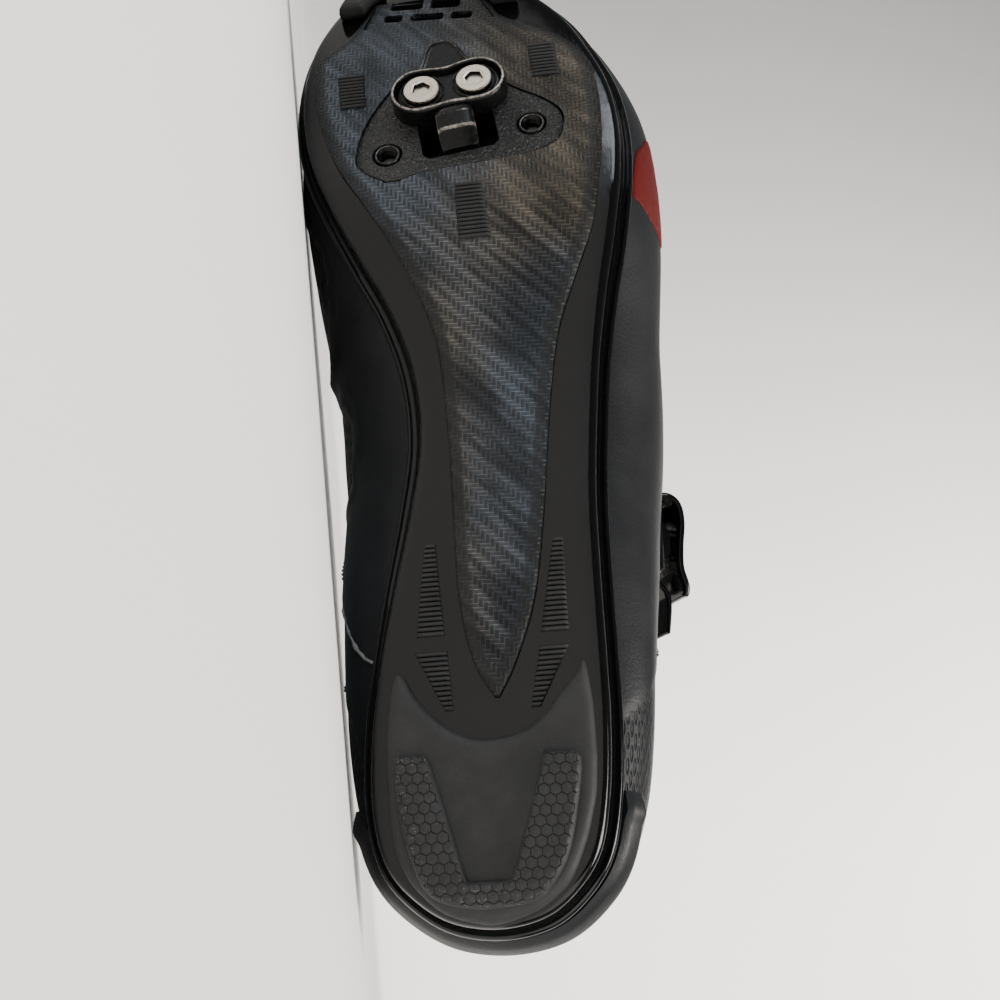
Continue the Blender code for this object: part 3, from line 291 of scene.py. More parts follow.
RIM_ALONG = ring_column(OUTLINE, "along", "along", 1)
RIM_SIDE = ring_column(OUTLINE, "medial", "lateral", -1)
MOUTH_ALONG = ring_column(MOUTH, "along", "along", 1)
MOUTH_SIDE = ring_column(MOUTH, "side", "side", -1)
MOUTH_HEIGHT = ring_column(MOUTH, "height", "height", 1)
SWELL_OUT = ring_column(SWELL, "medial", "lateral", 1)
SWELL_LOW = ring_column(SWELL, "low", "low", 1)
SWELL_SHOULDER = ring_column(SWELL, "shoulder", "shoulder", 1)
SWELL_DROP = ring_column(SWELL, "drop", "drop", 1)
SWELL_FLARE = ring_column(SWELL, "flare_medial", "flare_lateral", 1)


def smooth(low, high, value):
    """A share that rises smoothly from 0 at low to 1 at high."""
    share = min(max((value - low) / (high - low), 0.0), 1.0)
    return share * share * (3 - 2 * share)


@lru_cache(maxsize=None)
def underside(along):
    """Height of the sole panel's face over the ground, at a length from the heel."""
    return TOE_SPRING * height_through(UNDERSIDE, along / LENGTH)


def face_height(along):
    """The same height, with lengths rounded so that each is worked out once."""
    return underside(round(along, 6))


def turns(count):
    """Angles of evenly spaced points round a circle."""
    return [2 * math.pi * k / count for k in range(count)]


def swell(column, station):
    return curve_through(column, station / 2, True)


@lru_cache(maxsize=None)
def rim_plan(station):
    return Vector((BALL_WIDTH * curve_through(RIM_SIDE, station, True),
                   LENGTH * curve_through(RIM_ALONG, station, True), 0.0))


@lru_cache(maxsize=None)
def rim_outward(station):
    ahead = rim_plan(station + 0.05) - rim_plan(station - 0.05)
    return Vector((ahead.y, -ahead.x, 0.0)).normalized()


def rim_point(station, inset, rise):
    """A point inside the rim's outline, at a height over the shell's floor."""
    point = rim_plan(station) - inset * rim_outward(station)
    point.z = underside(point.y) + PROUD + rise
    return point


def mouth_point(station):
    along = LENGTH * curve_through(MOUTH_ALONG, station, True)
    swing = TIP_SIDE * (along / LENGTH) ** 2
    return Vector((BALL_WIDTH * curve_through(MOUTH_SIDE, station, True) + swing, along,
                   INSTEP_HEIGHT * curve_through(MOUTH_HEIGHT, station, True)))


@lru_cache(maxsize=None)
def section(station):
    """The four points that shape the upper's section at a station, from rim to mouth."""
    outward = rim_outward(station)
    foot = rim_point(station, LIP_WIDTH + GAP, LIP_TOP + TUCK)
    top = mouth_point(station)
    side = rim_plan(station) + BALL_WIDTH * swell(SWELL_OUT, station) * outward
    side.z = foot.z + INSTEP_HEIGHT * swell(SWELL_LOW, station)
    shoulder = top + BALL_WIDTH * swell(SWELL_SHOULDER, station) * outward
    shoulder.z = top.z - INSTEP_HEIGHT * swell(SWELL_DROP, station)
    return foot, side, shoulder, top


def upper_point(station, t):
    foot, side, shoulder, top = section(station)
    s = 1 - t
    return s ** 3 * foot + 3 * s * s * t * side + 3 * s * t * t * shoulder + t ** 3 * top


def upper_outward(station, t):
    low, high = max(t - 0.02, 0.0), min(t + 0.02, 1.0)
    up = upper_point(station, high) - upper_point(station, low)
    ahead = upper_point(station + 0.1, t) - upper_point(station - 0.1, t)
    return ahead.cross(up).normalized()


def over_upper(station, t, lift):
    return upper_point(station, t) + lift * upper_outward(station, t)


def collar_padding(station, t):
    """How far the wall swells to the padded collar: round the ankle, towards the mouth."""
    from_heel = min(station, RING - station)
    return smooth(0.55, 0.80, t) * (1 - smooth(THROAT_TOP - 3, THROAT_TOP - 1, from_heel))


def wall_at(station, t):
    """Thickness of the upper's wall."""
    return WALL + (COLLAR - WALL) * collar_padding(station, t)


def cleat_frame():
    """The plane that the cleat is bolted to: its middle, its slope and its turn."""
    reach = CLEAT_LENGTH / 2
    slope = math.atan2(underside(CLEAT_ALONG + reach) - underside(CLEAT_ALONG - reach), 2 * reach)
    place = Matrix.Translation((CLEAT_SIDE, CLEAT_ALONG, underside(CLEAT_ALONG)))
    return place @ Matrix.Rotation(slope, 4, "X") @ Matrix.Rotation(CLEAT_TURN, 4, "Z")


def buckle_frame():
    """On the outer side: X runs to the toe, Y up the upper, Z out of it."""
    station, t = BUCKLE_STATION - 0.6, 0.66
    out = upper_outward(station, t)
    toe = Vector((0, 1, 0))
    toe = (toe - toe.dot(out) * out).normalized()
    turn = Matrix((toe, out.cross(toe), out)).transposed().to_4x4()
    return Matrix.Translation(upper_point(station, t)) @ turn


class Solid:
    """A mesh in the making: points, faces and the finish of each face."""

    def __init__(self):
        self.points = []
        self.faces = []
        self.finish = []

    def add_grid(self, rows, closed=False, finish=0, flip=False):
        """Quads over rows of points; closed joins the last point of each row to its first."""
        start = len(self.points)
        width = len(rows[0])
        for row in rows:
            self.points.extend(row)
        for r in range(len(rows) - 1):
            for c in range(width if closed else width - 1):
                after = (c + 1) % width
                a, b = start + r * width + c, start + r * width + after
                face = (a, b, b + width, a + width)
                self.faces.append(face[::-1] if flip else face)
                self.finish.append(finish)
        return start

    def add_fan(self, row, finish=0, flip=False):
        """Close a row of points with triangles about its middle."""
        start = len(self.points)
        self.points.extend(row)
        self.points.append(sum(row, Vector()) / len(row))
        for c in range(len(row)):
            face = (start + c, start + (c + 1) % len(row), start + len(row))
            self.faces.append(face[::-1] if flip else face)
            self.finish.append(finish)

    def add_slab(self, under, over, finish=0):
        """A closed slab between two grids with the same rows and columns."""
        rows, width = len(under), len(under[0])
        low = self.add_grid(under, finish=finish, flip=True)
        high = self.add_grid(over, finish=finish)
        border = ([r * width for r in range(rows)]
                  + [(rows - 1) * width + c for c in range(1, width)]
                  + [r * width + width - 1 for r in range(rows - 2, -1, -1)]
                  + [c for c in range(width - 2, 0, -1)])
        for a, b in zip(border, border[1:] + border[:1]):
            self.faces.append((low + a, high + a, high + b, low + b))
            self.finish.append(finish)

    def add_tube(self, path, radius, sides=8, finish=0, squash=1.0):
        """A tube along (point, outward) pairs, round or flattened towards the surface."""
        rings = []
        for index, (point, out) in enumerate(path):
            ahead = path[min(index + 1, len(path) - 1)][0] - path[max(index - 1, 0)][0]
            ahead = ahead.normalized() if ahead.length > 1e-9 else Vector((0, 1, 0))
            across = ahead.cross(out).normalized()
            size = radius(index / (len(path) - 1)) if callable(radius) else radius
            rings.append([point + size * (math.cos(a) * across + squash * math.sin(a) * out)
                          for a in turns(sides)])
        self.add_grid(rings, closed=True, finish=finish)
        self.add_fan(rings[0], finish=finish, flip=True)
        self.add_fan(rings[-1], finish=finish)

    def make(self, name, finishes, smooth_faces=True, weld=0.0):
        mesh = bpy.data.meshes.new(name)
        mesh.from_pydata(self.points, [], self.faces)
        for material in finishes:
            mesh.materials.append(material)
        mesh.polygons.foreach_set("material_index", self.finish)
        mesh.polygons.foreach_set("use_smooth", [smooth_faces] * len(self.faces))
        bm = bmesh.new()
        bm.from_mesh(mesh)
        if weld:
            bmesh.ops.remove_doubles(bm, verts=bm.verts, dist=weld)
        bmesh.ops.recalc_face_normals(bm, faces=bm.faces)
        bm.to_mesh(mesh)
        bm.free()
        piece = bpy.data.objects.new(name, mesh)
        bpy.context.scene.collection.objects.link(piece)
        return piece


def lay(piece, nodes=()):
    """Turn an upright piece on to the floor, where it stands for CAD nodes and rides."""
    apply_changes(piece)
    piece.data.transform(LAY)
    for vert in piece.data.vertices:
        vert.co.z = max(vert.co.z, 0.0)
    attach(piece, "root")
    if nodes:
        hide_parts(*nodes)
    return piece


def apply_changes(piece):
    """Put the piece's modifiers into its mesh."""
    if piece.modifiers:
        bpy.context.view_layer.update()
        shown = piece.evaluated_get(bpy.context.evaluated_depsgraph_get())
        mesh = bpy.data.meshes.new_from_object(shown)
        piece.modifiers.clear()
        piece.data = mesh


def sharpen(piece, degrees=35):
    """Smooth shading that keeps edges sharper than an angle."""
    bm = bmesh.new()
    bm.from_mesh(piece.data)
    for edge in bm.edges:
        edge.smooth = len(edge.link_faces) == 2 and edge.calc_face_angle(0) < math.radians(degrees)
    for face in bm.faces:
        face.smooth = True
    bm.to_mesh(piece.data)
    bm.free()


def cut(piece, *cutters):
    """Take cutters that don't touch each other out of the piece, and out of the scene."""
    cutter = join(list(cutters), "cutter") if len(cutters) > 1 else cutters[0]
    change = piece.modifiers.new("cut", "BOOLEAN")
    change.operation = "DIFFERENCE"
    change.solver = "EXACT"
    change.object = cutter
    apply_changes(piece)
    bpy.data.objects.remove(cutter)


def prism(name, outline, low, high):
    """A closed prism over a plane outline."""
    solid = Solid()
    rows = [[Vector((x, y, z)) for x, y in outline] for z in (low, high)]
    solid.add_grid(rows, closed=True)
    solid.add_fan(rows[0], flip=True)
    solid.add_fan(rows[1])
    return solid.make(name, [], weld=1e-7)


def slab(name, rows, *finish_names):
    """A closed slab; each row holds pairs of points, one under and one over."""
    solid = Solid()
    solid.add_slab(*([[pair[side] for pair in row] for row in rows] for side in (0, 1)))
    return solid.make(name, [finish(each) for each in finish_names])


def sew(solid, points, pitch, radius, sink):
    """Thread loops along (point, outward) pairs, sunk by a share of the thread's radius."""
    travelled, last, marks = 0.0, points[0][0], [points[0]]
    for point, out in points[1:]:
        travelled += (point - last).length
        last = point
        if travelled >= pitch:
            marks.append((point, out))
            travelled = 0.0
    for (a, out), (b, _) in zip(marks, marks[1:]):
        path = [(a.lerp(b, 0.14 + 0.18 * k) + out * radius * (math.sin(math.pi * k / 4) - sink), out)
                for k in range(5)]
        solid.add_tube(path, lambda s: radius * (0.55 + 0.45 * math.sin(math.pi * s)), 6)


def around(rows):
    """The closed outline of rows of (along, low edge, high edge)."""
    return [(low, at) for at, low, high in rows] + [(high, at) for at, low, high in rows[::-1]]


def plan_of(piece):
    """The piece's points seen from under the sole."""
    return [(vert.co.x, vert.co.y) for vert in piece.data.vertices]


def join(pieces, name):
    """Make several pieces one."""
    with bpy.context.temp_override(active_object=pieces[0], selected_editable_objects=pieces):
        bpy.ops.object.join()
    pieces[0].name = name
    return pieces[0]


def distance_to(points, starts, ends):
    """Distance of each plane point from the nearest of some straight runs."""
    best = np.full(len(points), 1e9)
    for start, end in zip(starts, ends):
        run = end - start
        share = np.clip(((points - start) @ run) / max(float(run @ run), 1e-12), 0, 1)
        best = np.minimum(best, np.linalg.norm(points - start - share[:, None] * run, axis=1))
    return best


def edge_distance(points, outline):
    """Distance of each plane point from a closed outline."""
    edge = np.asarray(outline, float)
    return distance_to(np.asarray(points, float), edge, np.roll(edge, -1, axis=0))


def span_rows(table, width, length, count):
    """Rows along a table's spans, closer near both ends: (along, low edge, high edge)."""
    rows = []
    last = len(table) - 1
    for step in range(count + 1):
        share = step / count
        at = last * (share - 0.12 * math.sin(2 * math.pi * share) / math.pi)
        rows.append((length * curve_through([row.at for row in table], at, False),
                     width * curve_through([row.low for row in table], at, False),
                     width * curve_through([row.high for row in table], at, False)))
    return rows


def add_face_plate(name, rows, columns, face, finish_name, base=SUNK, crosswise=False):
    """A plate under the shell, whose face height is face(distance from the plate's edge).

    base and face are heights over the sole panel's own face, so down is negative.
    """
    plan = []
    for along, low, high in rows:
        row = []
        for column in range(columns + 1):
            share = column / columns
            share -= 0.10 * math.sin(2 * math.pi * share) / math.pi
            place = low + (high - low) * share
            row.append((along, place) if crosswise else (place, along))
        plan.append(row)
    outline = ([row[0] for row in plan] + plan[-1][1:-1] + [row[-1] for row in plan[::-1]]
               + plan[0][1:-1][::-1])
    away = iter(edge_distance([point for row in plan for point in row], outline))
    return slab(name, [[(Vector((x, y, face_height(y) + face(next(away)))),
                         Vector((x, y, face_height(y) + base))) for x, y in row] for row in plan],
                finish_name)


def rounded(depth, radius, floor=0.0):
    """Face height that rises from depth at the edge to floor over a rounded shoulder."""
    def height(away):
        share = min(away / radius, 1.0)
        return floor + (depth - floor) * (1 - math.sqrt(max(1 - (1 - share) ** 2, 0.0)))
    return height


class Finish:
    """A material of this shoe, with short ways to lay nodes before its shader.

    Places are in millimetres on the upright shoe, so that grain and weave follow it.
    """

    def __init__(self, name, colour, roughness, **sockets):
        self.material = bpy.data.materials.new(name)
        self.material.use_nodes = True
        self.tree = self.material.node_tree
        self.shader = self.tree.nodes["Principled BSDF"]
        self.shader.inputs["Base Color"].default_value = (*colour, 1.0)
        self.shader.inputs["Roughness"].default_value = roughness
        for socket, value in sockets.items():
            self.shader.inputs[socket.replace("_", " ")].default_value = value
        self.material.diffuse_color = (*colour, 1.0)
        self.relief = None

    def node(self, kind, *values, **settings):
        """A node; each value is a number, a vector or another node's socket."""
        made = self.tree.nodes.new("ShaderNode" + kind)
        for key, value in settings.items():
            setattr(made, key, value)
        for socket, value in zip(made.inputs, values):
            self.feed(socket, value)
        return made

    def feed(self, socket, value):
        if value is None:
            return
        if isinstance(value, bpy.types.NodeSocket):
            self.tree.links.new(value, socket)
        else:
            socket.default_value = value

    def place(self, turn=(0, 0, 0)):
        """Millimetres on the upright shoe."""
        here = self.node("TexCoord").outputs["Object"]
        upright = self.node("Mapping", here)
        upright.inputs["Scale"].default_value = (1000, 1000, 1000)
        upright.inputs["Rotation"].default_value = UPRIGHT.to_euler()
        upright.inputs["Location"].default_value = 1000 * UPRIGHT.translation
        if turn == (0, 0, 0):
            return upright.outputs[0]
        turned = self.node("Mapping", upright.outputs[0])
        turned.inputs["Rotation"].default_value = turn
        return turned.outputs[0]

    def way(self):
        """Millimetres round and up the upper, kept on the mesh."""
        return self.node("Attribute", attribute_name="way").outputs["Vector"]

    def kept(self, name):
        return self.node("Attribute", attribute_name=name).outputs["Fac"]

    def stretch(self, place, scale):
        return self.node("VectorMath", place, scale, operation="MULTIPLY").outputs[0]

    def parts(self, vector):
        return self.node("SeparateXYZ", vector).outputs

    def vector(self, x, y, z=0.0):
        return self.node("CombineXYZ", x, y, z).outputs[0]

    def calc(self, operation, a, b=None):
        return self.node("Math", a, b, operation=operation).outputs[0]

    def plus(self, a, b):
        return self.calc("ADD", a, b)

    def times(self, a, b):
        return self.calc("MULTIPLY", a, b)

    def noise(self, place, scale, detail=3.0, rough=0.55):
        made = self.node("TexNoise", place)
        made.inputs["Scale"].default_value = scale
        made.inputs["Detail"].default_value = detail
        made.inputs["Roughness"].default_value = rough
        return made.outputs["Fac"]

    def cells(self, place, scale):
        made = self.node("TexVoronoi", place, feature="F1")
        made.inputs["Scale"].default_value = scale
        made.inputs["Randomness"].default_value = 1.0
        return made.outputs["Distance"]

    def ramp(self, value, low, high, to_low=0.0, to_high=1.0):
        return self.node("MapRange", value, low, high, to_low, to_high,
                         interpolation_type="SMOOTHSTEP").outputs[0]

    def mix(self, share, first, second):
        made = self.tree.nodes.new("ShaderNodeMix")
        made.data_type = "RGBA"
        for index, value in ((0, share), (6, first), (7, second)):
            self.feed(made.inputs[index], (*value, 1.0) if isinstance(value, tuple) else value)
        return made.outputs[2]

    def between(self, share, first, second):
        """A number between two others."""
        made = self.tree.nodes.new("ShaderNodeMix")
        for index, value in ((0, share), (2, first), (3, second)):
            self.feed(made.inputs[index], value)
        return made.outputs[0]

    def bump(self, height, depth, strength=1.0):
        """Add relief, depth in millimetres, on top of what is there."""
        made = self.node("Bump")
        made.inputs["Strength"].default_value = strength
        made.inputs["Distance"].default_value = depth * MM
        self.feed(made.inputs["Height"], height)
        if self.relief is not None:
            self.feed(made.inputs["Normal"], self.relief)
        self.relief = made.outputs[0]
        self.feed(self.shader.inputs["Normal"], self.relief)

    def paint(self, colour=None, roughness=None, metallic=None):
        if colour is not None:
            self.feed(self.shader.inputs["Base Color"], colour)
        if roughness is not None:
            self.feed(self.shader.inputs["Roughness"], roughness)
        if metallic is not None:
            self.feed(self.shader.inputs["Metallic"], metallic)

    def honeycomb(self, place, size):
        """Distances from the middle and from the edge of six-sided cells, in cell widths."""
        x, y, _ = self.parts(place)
        a = self.plus(self.calc("DIVIDE", x, size), 1000.0)
        b = self.plus(self.calc("DIVIDE", y, size * math.sqrt(3)), 1000.0)
        found = []
        for shift in (0.0, 0.5):
            dx = self.calc("SUBTRACT", self.calc("FRACT", self.plus(a, shift)), 0.5)
            dy = self.times(self.calc("SUBTRACT", self.calc("FRACT", self.plus(b, shift)), 0.5),
                            math.sqrt(3))
            ax, ay = self.calc("ABSOLUTE", dx), self.calc("ABSOLUTE", dy)
            far = self.calc("SQRT", self.plus(self.times(dx, dx), self.times(dy, dy)))
            slant = self.plus(self.times(ax, 0.5), self.times(ay, math.sqrt(3) / 2))
            found.append((far, self.calc("MAXIMUM", ax, slant)))
        middle = self.calc("MINIMUM", found[0][0], found[1][0])
        edge = self.calc("SUBTRACT", 0.5, self.calc("MINIMUM", found[0][1], found[1][1]))
        return middle, edge


def gray(value):
    return (value, value, value)


def shades():
    return bpy.context.scene.shoe_shades


def gloss_finish():
    """Polished black plastic: a faint wave of the mould, fine scratches and dust."""
    f = Finish("glossy_shell", tuple(shades().shell), 0.07, Specular_IOR_Level=0.24)
    at = f.place()
    scratch = f.noise(f.stretch(at, (0.9, 0.06, 0.9)), 3.0, 5.0, 0.7)
    dust = f.ramp(f.cells(at, 0.35), 0.045, 0.02)
    f.paint(colour=f.mix(f.times(dust, 0.12), tuple(shades().shell), gray(0.20)),
            roughness=f.ramp(scratch, 0.45, 0.75, 0.055, 0.17))
    f.bump(f.noise(at, 0.22, 1.0), 0.05)
    f.bump(scratch, 0.012)
    return f.material


def twill_finish():
    """Two-by-two twill under a thin lacquer: tows run two over, two under, on the slant. Warm and cool
    glints, slanted bands of glare and the darker lengthwise tows are painted reflections in its colour.
    """
    tow = shades().twill_width / MM
    f = Finish("carbon_look", (0.04, 0.038, 0.036), 0.34, Specular_IOR_Level=0.25)
    at = f.place()
    x, y, _ = f.parts(at)
    bevel = f.kept("bevel")
    a = f.plus(f.calc("DIVIDE", x, tow), 500.0)
    b = f.plus(f.calc("DIVIDE", y, tow), 500.0)
    apart = f.calc("SUBTRACT", f.plus(f.calc("FLOOR", a), 1000.0), f.calc("FLOOR", b))
    lengthwise = f.calc("LESS_THAN", f.calc("MODULO", apart, 4.0), 1.5)
    crown_a = f.calc("SINE", f.times(f.calc("FRACT", a), math.pi))
    crown_b = f.calc("SINE", f.times(f.calc("FRACT", b), math.pi))
    crown = f.calc("POWER", f.between(lengthwise, crown_b, crown_a), 0.6)
    fibre_a = f.noise(f.stretch(at, (9.0, 0.7, 1.0)), 1.0, 2.0)
    fibre_b = f.noise(f.stretch(at, (0.7, 9.0, 1.0)), 1.0, 2.0)
    fibre = f.between(lengthwise, fibre_b, fibre_a)
    slant = f.place((0.0, 0.0, math.radians(-50)))
    # Painted glare: slanted bands along which the colour is brighter
    glare_band = f.ramp(f.noise(f.stretch(slant, (0.035, 0.14, 0.035)), 1.0, 3.0, 0.6), 0.36, 0.66)
    # Painted reflections: a warm tint on one side of the panel and a cool one on the other, swapping
    # sides between waist and ball
    side = f.times(x, f.ramp(y, 140.0, 190.0, -1.0, 1.0))
    cool_glint = f.ramp(f.plus(side, f.times(f.noise(at, 0.05, 2.0), 20.0)), -12.0, 26.0)
    glint_tint = f.mix(cool_glint, (0.084, 0.068, 0.048), (0.048, 0.057, 0.070))
    # Painted reflection: lengthwise tows are darker than crosswise ones, standing in for how differently
    # they reflect
    glint_tint = f.mix(lengthwise, glint_tint, f.mix(0.45, glint_tint, gray(0.012)))
    deep = f.times(f.ramp(crown, 0.30, 0.75, 1.55, 0.55), f.ramp(fibre, 0.3, 0.7, 0.7, 1.2))
    deep = f.times(deep, f.plus(f.times(glare_band, 0.95), 0.35))
    deep = f.times(deep, f.ramp(bevel, 0.0, 1.0, 1.0, 0.22))
    colour = f.node("VectorMath", glint_tint, f.vector(deep, deep, deep), operation="MULTIPLY").outputs[0]
    f.paint(colour=colour, metallic=f.ramp(bevel, 0.0, 1.0, 0.5, 0.0),
            roughness=f.plus(f.ramp(fibre, 0.3, 0.7, 0.28, 0.44), f.times(bevel, 0.2)))
    f.bump(crown, 0.14)
    f.bump(fibre, 0.03)
    return f.material


def grain_finish():
    """Moulded plastic with a coarse spark-eroded grain."""
    f = Finish("grained_plastic", tuple(shades().insert), 0.46, Specular_IOR_Level=0.4)
    at = f.place()
    grain = f.noise(at, 1.1, 4.0, 0.6)
    f.paint(colour=f.mix(f.ramp(grain, 0.35, 0.75), gray(0.006), tuple(shades().insert)),
            roughness=f.ramp(grain, 0.3, 0.7, 0.24, 0.42))
    f.bump(f.ramp(grain, 0.35, 0.65), 0.45)
    f.bump(f.cells(at, 1.8), 0.10)
    return f.material


def coated(name):
    """Coated synthetic leather: a fine pebbled grain and soft unevenness."""
    f = Finish(name, tuple(shades().leather), 0.48, Specular_IOR_Level=0.2, Sheen_Weight=0.02)
    at = f.place()
    pebble = f.cells(at, 1.1)
    cloud = f.noise(at, 0.035, 3.0)
    fine = f.noise(at, 2.6, 3.0)
    base = tuple(shades().leather)
    lighter = tuple(min(1.0, 1.5 * c + 0.002) for c in base)
    f.paint(colour=f.mix(f.ramp(cloud, 0.35, 0.7), base, lighter),
            roughness=f.plus(f.ramp(fine, 0.3, 0.7, 0.42, 0.52), f.ramp(cloud, 0.3, 0.7, -0.03, 0.05)))
    f.bump(pebble, 0.035)
    f.bump(fine, 0.02)
    return f


def leather_finish():
    return coated("synthetic_leather").material


def upper_finish():
    """The upper's coated face, pitted in the side panels and dimpled round the heel."""
    f = coated("upper_skin")
    way = f.way()
    pit, _ = f.honeycomb(f.stretch(way, (1.0, 1.15, 1.0)), 2.7)
    hole = f.times(f.ramp(pit, 0.34, 0.20), f.kept("panel"))
    dimple, _ = f.honeycomb(f.stretch(way, (1.0, 1.0, 1.0)), 2.5)
    dent = f.times(f.ramp(dimple, 0.40, 0.16), f.kept("heel"))
    f.bump(f.calc("SUBTRACT", 1.0, hole), 0.55)
    f.bump(f.calc("SUBTRACT", 1.0, dent), 0.55)
    return f.material


def weave_finish(name, colour, pitch=0.8, rough=0.85):
    """Knitted or woven cloth: two sets of yarns that cross."""
    f = Finish(name, colour, rough, Sheen_Weight=0.35, Sheen_Roughness=0.5)
    at = f.place()
    x, y, z = f.parts(at)
    u = f.calc("SINE", f.times(f.plus(y, f.times(z, 0.25)), 2 * math.pi / pitch))
    v = f.calc("SINE", f.times(f.plus(z, x), 2 * math.pi / pitch))
    knit = f.times(u, v)
    fuzz = f.noise(at, 3.0, 4.0, 0.7)
    dark = tuple(0.45 * c for c in colour)
    light = tuple(min(1.0, 1.5 * c) for c in colour)
    f.paint(colour=f.mix(f.plus(f.ramp(knit, -0.6, 0.8, 0.0, 0.7), f.ramp(fuzz, 0.3, 0.7, 0.0, 0.3)),
                         dark, light))
    f.bump(knit, 0.16)
    f.bump(fuzz, 0.05)
    return f.material


def rubber_finish(name="matte_rubber", cells=False):
    """Matte rubber, scuffed pale on the edges that touch the ground; cells adds its tread. The grooves
    of the tread and of the ribs are painted dark as shade.
    """
    f = Finish(name, tuple(shades().rubber), 0.62, Specular_IOR_Level=0.25)
    at = f.place()
    fine = f.noise(at, 2.2, 4.0, 0.65)
    cloud = f.noise(at, 0.12, 3.0)
    base = tuple(shades().rubber)
    colour = f.mix(f.ramp(cloud, 0.35, 0.7), base, tuple(1.35 * c for c in base))
    if cells:
        tread = f.kept("tread")
        middle, edge = f.honeycomb(at, 2.55)
        groove = f.ramp(edge, 0.0, 0.075)
        dome = f.ramp(middle, 0.5, 0.0)
        f.bump(f.between(tread, 1.0, groove), 0.50)
        f.bump(f.times(dome, tread), 0.20)
        # Painted shade: the grooves between the tread's cells are darkened almost to black
        colour = f.mix(f.between(tread, 0.0, f.ramp(edge, 0.07, 0.02)), colour, gray(0.003))
        spots = f.ramp(f.noise(at, 1.5, 5.0, 0.75), 0.57, 0.68)
        scuff = f.times(f.times(spots, f.kept("worn")), shades().wear)
        colour = f.mix(scuff, colour, (0.22, 0.21, 0.20))
    # Painted shade in the troughs between the ribs, kept on the mesh as groove
    colour = f.mix(f.kept("groove"), colour, gray(0.0015))
    f.paint(colour=colour, roughness=f.ramp(fine, 0.3, 0.7, 0.55, 0.72))
    f.bump(fine, 0.03)
    return f.material


def steel_finish():
    """Blackened steel, rubbed to bare metal where the pedal grips it."""
    f = Finish("black_steel", gray(0.006), 0.34, Metallic=0.6, Specular_IOR_Level=0.3)
    at = f.place()
    rub = f.noise(at, 0.9, 5.0, 0.7)
    worn = f.times(f.ramp(f.plus(f.kept("worn"), f.times(rub, 0.8)), 0.95, 1.35), shades().wear)
    f.paint(colour=f.mix(worn, gray(0.006), (0.42, 0.38, 0.33)),
            roughness=f.ramp(rub, 0.3, 0.7, 0.24, 0.40))
    f.bump(rub, 0.03)
    f.bump(f.noise(f.stretch(at, (0.4, 4.0, 1.0)), 1.0, 3.0), 0.012)
    return f.material


def nickel_finish():
    """Satin nickel with fine turning marks and a little grime."""
    f = Finish("nickel", tuple(shades().nickel), 0.30, Metallic=1.0)
    at = f.place()
    grime = f.noise(at, 0.7, 5.0, 0.7)
    f.paint(colour=f.mix(f.ramp(grime, 0.52, 0.75), tuple(shades().nickel), (0.30, 0.25, 0.20)),
            roughness=f.ramp(grime, 0.35, 0.7, 0.24, 0.42))
    f.bump(f.noise(f.stretch(at, (5.0, 0.6, 1.0)), 1.2, 2.0), 0.012)
    return f.material


def red_finish():
    """The dull red accent, with fine diagonal lines pressed into it."""
    f = Finish("red_accent", tuple(shades().accent), 0.5, Specular_IOR_Level=0.12)
    at = f.place()
    _, y, z = f.parts(at)
    line = f.calc("SINE", f.times(f.plus(y, z), 2 * math.pi / 1.1))
    f.paint(colour=f.mix(f.ramp(line, -0.5, 0.5), tuple(0.55 * c for c in shades().accent),
                         tuple(shades().accent)),
            roughness=f.ramp(f.noise(at, 1.2), 0.3, 0.7, 0.42, 0.58))
    f.bump(line, 0.10)
    return f.material


def raw_edge_finish():
    """The cut edge of the coated cloth: pale felted fibres."""
    f = Finish("raw_edge", (0.16, 0.16, 0.155), 0.9, Sheen_Weight=0.3, Sheen_Roughness=0.6)
    at = f.place()
    fluff = f.noise(at, 2.2, 5.0, 0.8)
    f.paint(colour=f.mix(f.ramp(fluff, 0.35, 0.7), (0.05, 0.05, 0.05), (0.30, 0.30, 0.29)))
    f.bump(fluff, 0.25)
    return f.material


def thread_finish():
    """Twisted black thread."""
    f = Finish("thread", (0.030, 0.030, 0.032), 0.6, Sheen_Weight=0.2, Sheen_Roughness=0.4)
    at = f.place()
    x, y, z = f.parts(at)
    ply = f.calc("SINE", f.times(f.plus(f.plus(x, y), z), 2 * math.pi / 0.5))
    f.paint(colour=f.mix(f.ramp(ply, -0.6, 0.6), gray(0.018), gray(0.06)))
    f.bump(ply, 0.05)
    return f.material


@lru_cache(maxsize=None)
def finish(name):
    """Each finish is mixed once and shared."""
    makers = {
        "gloss": gloss_finish, "twill": twill_finish, "grain": grain_finish,
        "leather": leather_finish, "upper": upper_finish, "rubber": rubber_finish,
        "tread": lambda: rubber_finish("heel_rubber", True), "steel": steel_finish,
        "nickel": nickel_finish, "red": red_finish, "raw": raw_edge_finish,
        "thread": thread_finish,
        "lining": lambda: weave_finish("lining_mesh", (0.030, 0.031, 0.034), 1.3),
        "insole": lambda: weave_finish("insole_fabric", (0.050, 0.050, 0.055), 0.9),
        "binding": lambda: weave_finish("collar_binding", (0.022, 0.022, 0.024), 0.6, 0.8),
        "floor": floor_finish,
    }
    return makers[name]()


def floor_finish():
    """Plain pale paper, very faintly uneven."""
    f = Finish("pale_paper", tuple(bpy.context.scene.shoe_stage.paper), 0.75)
    cloud = f.noise(f.node("TexCoord").outputs["Object"], 3.0, 4.0)
    base = tuple(bpy.context.scene.shoe_stage.paper)
    f.paint(colour=f.mix(f.ramp(cloud, 0.3, 0.7), tuple(0.985 * c for c in base), base))
    return f.material


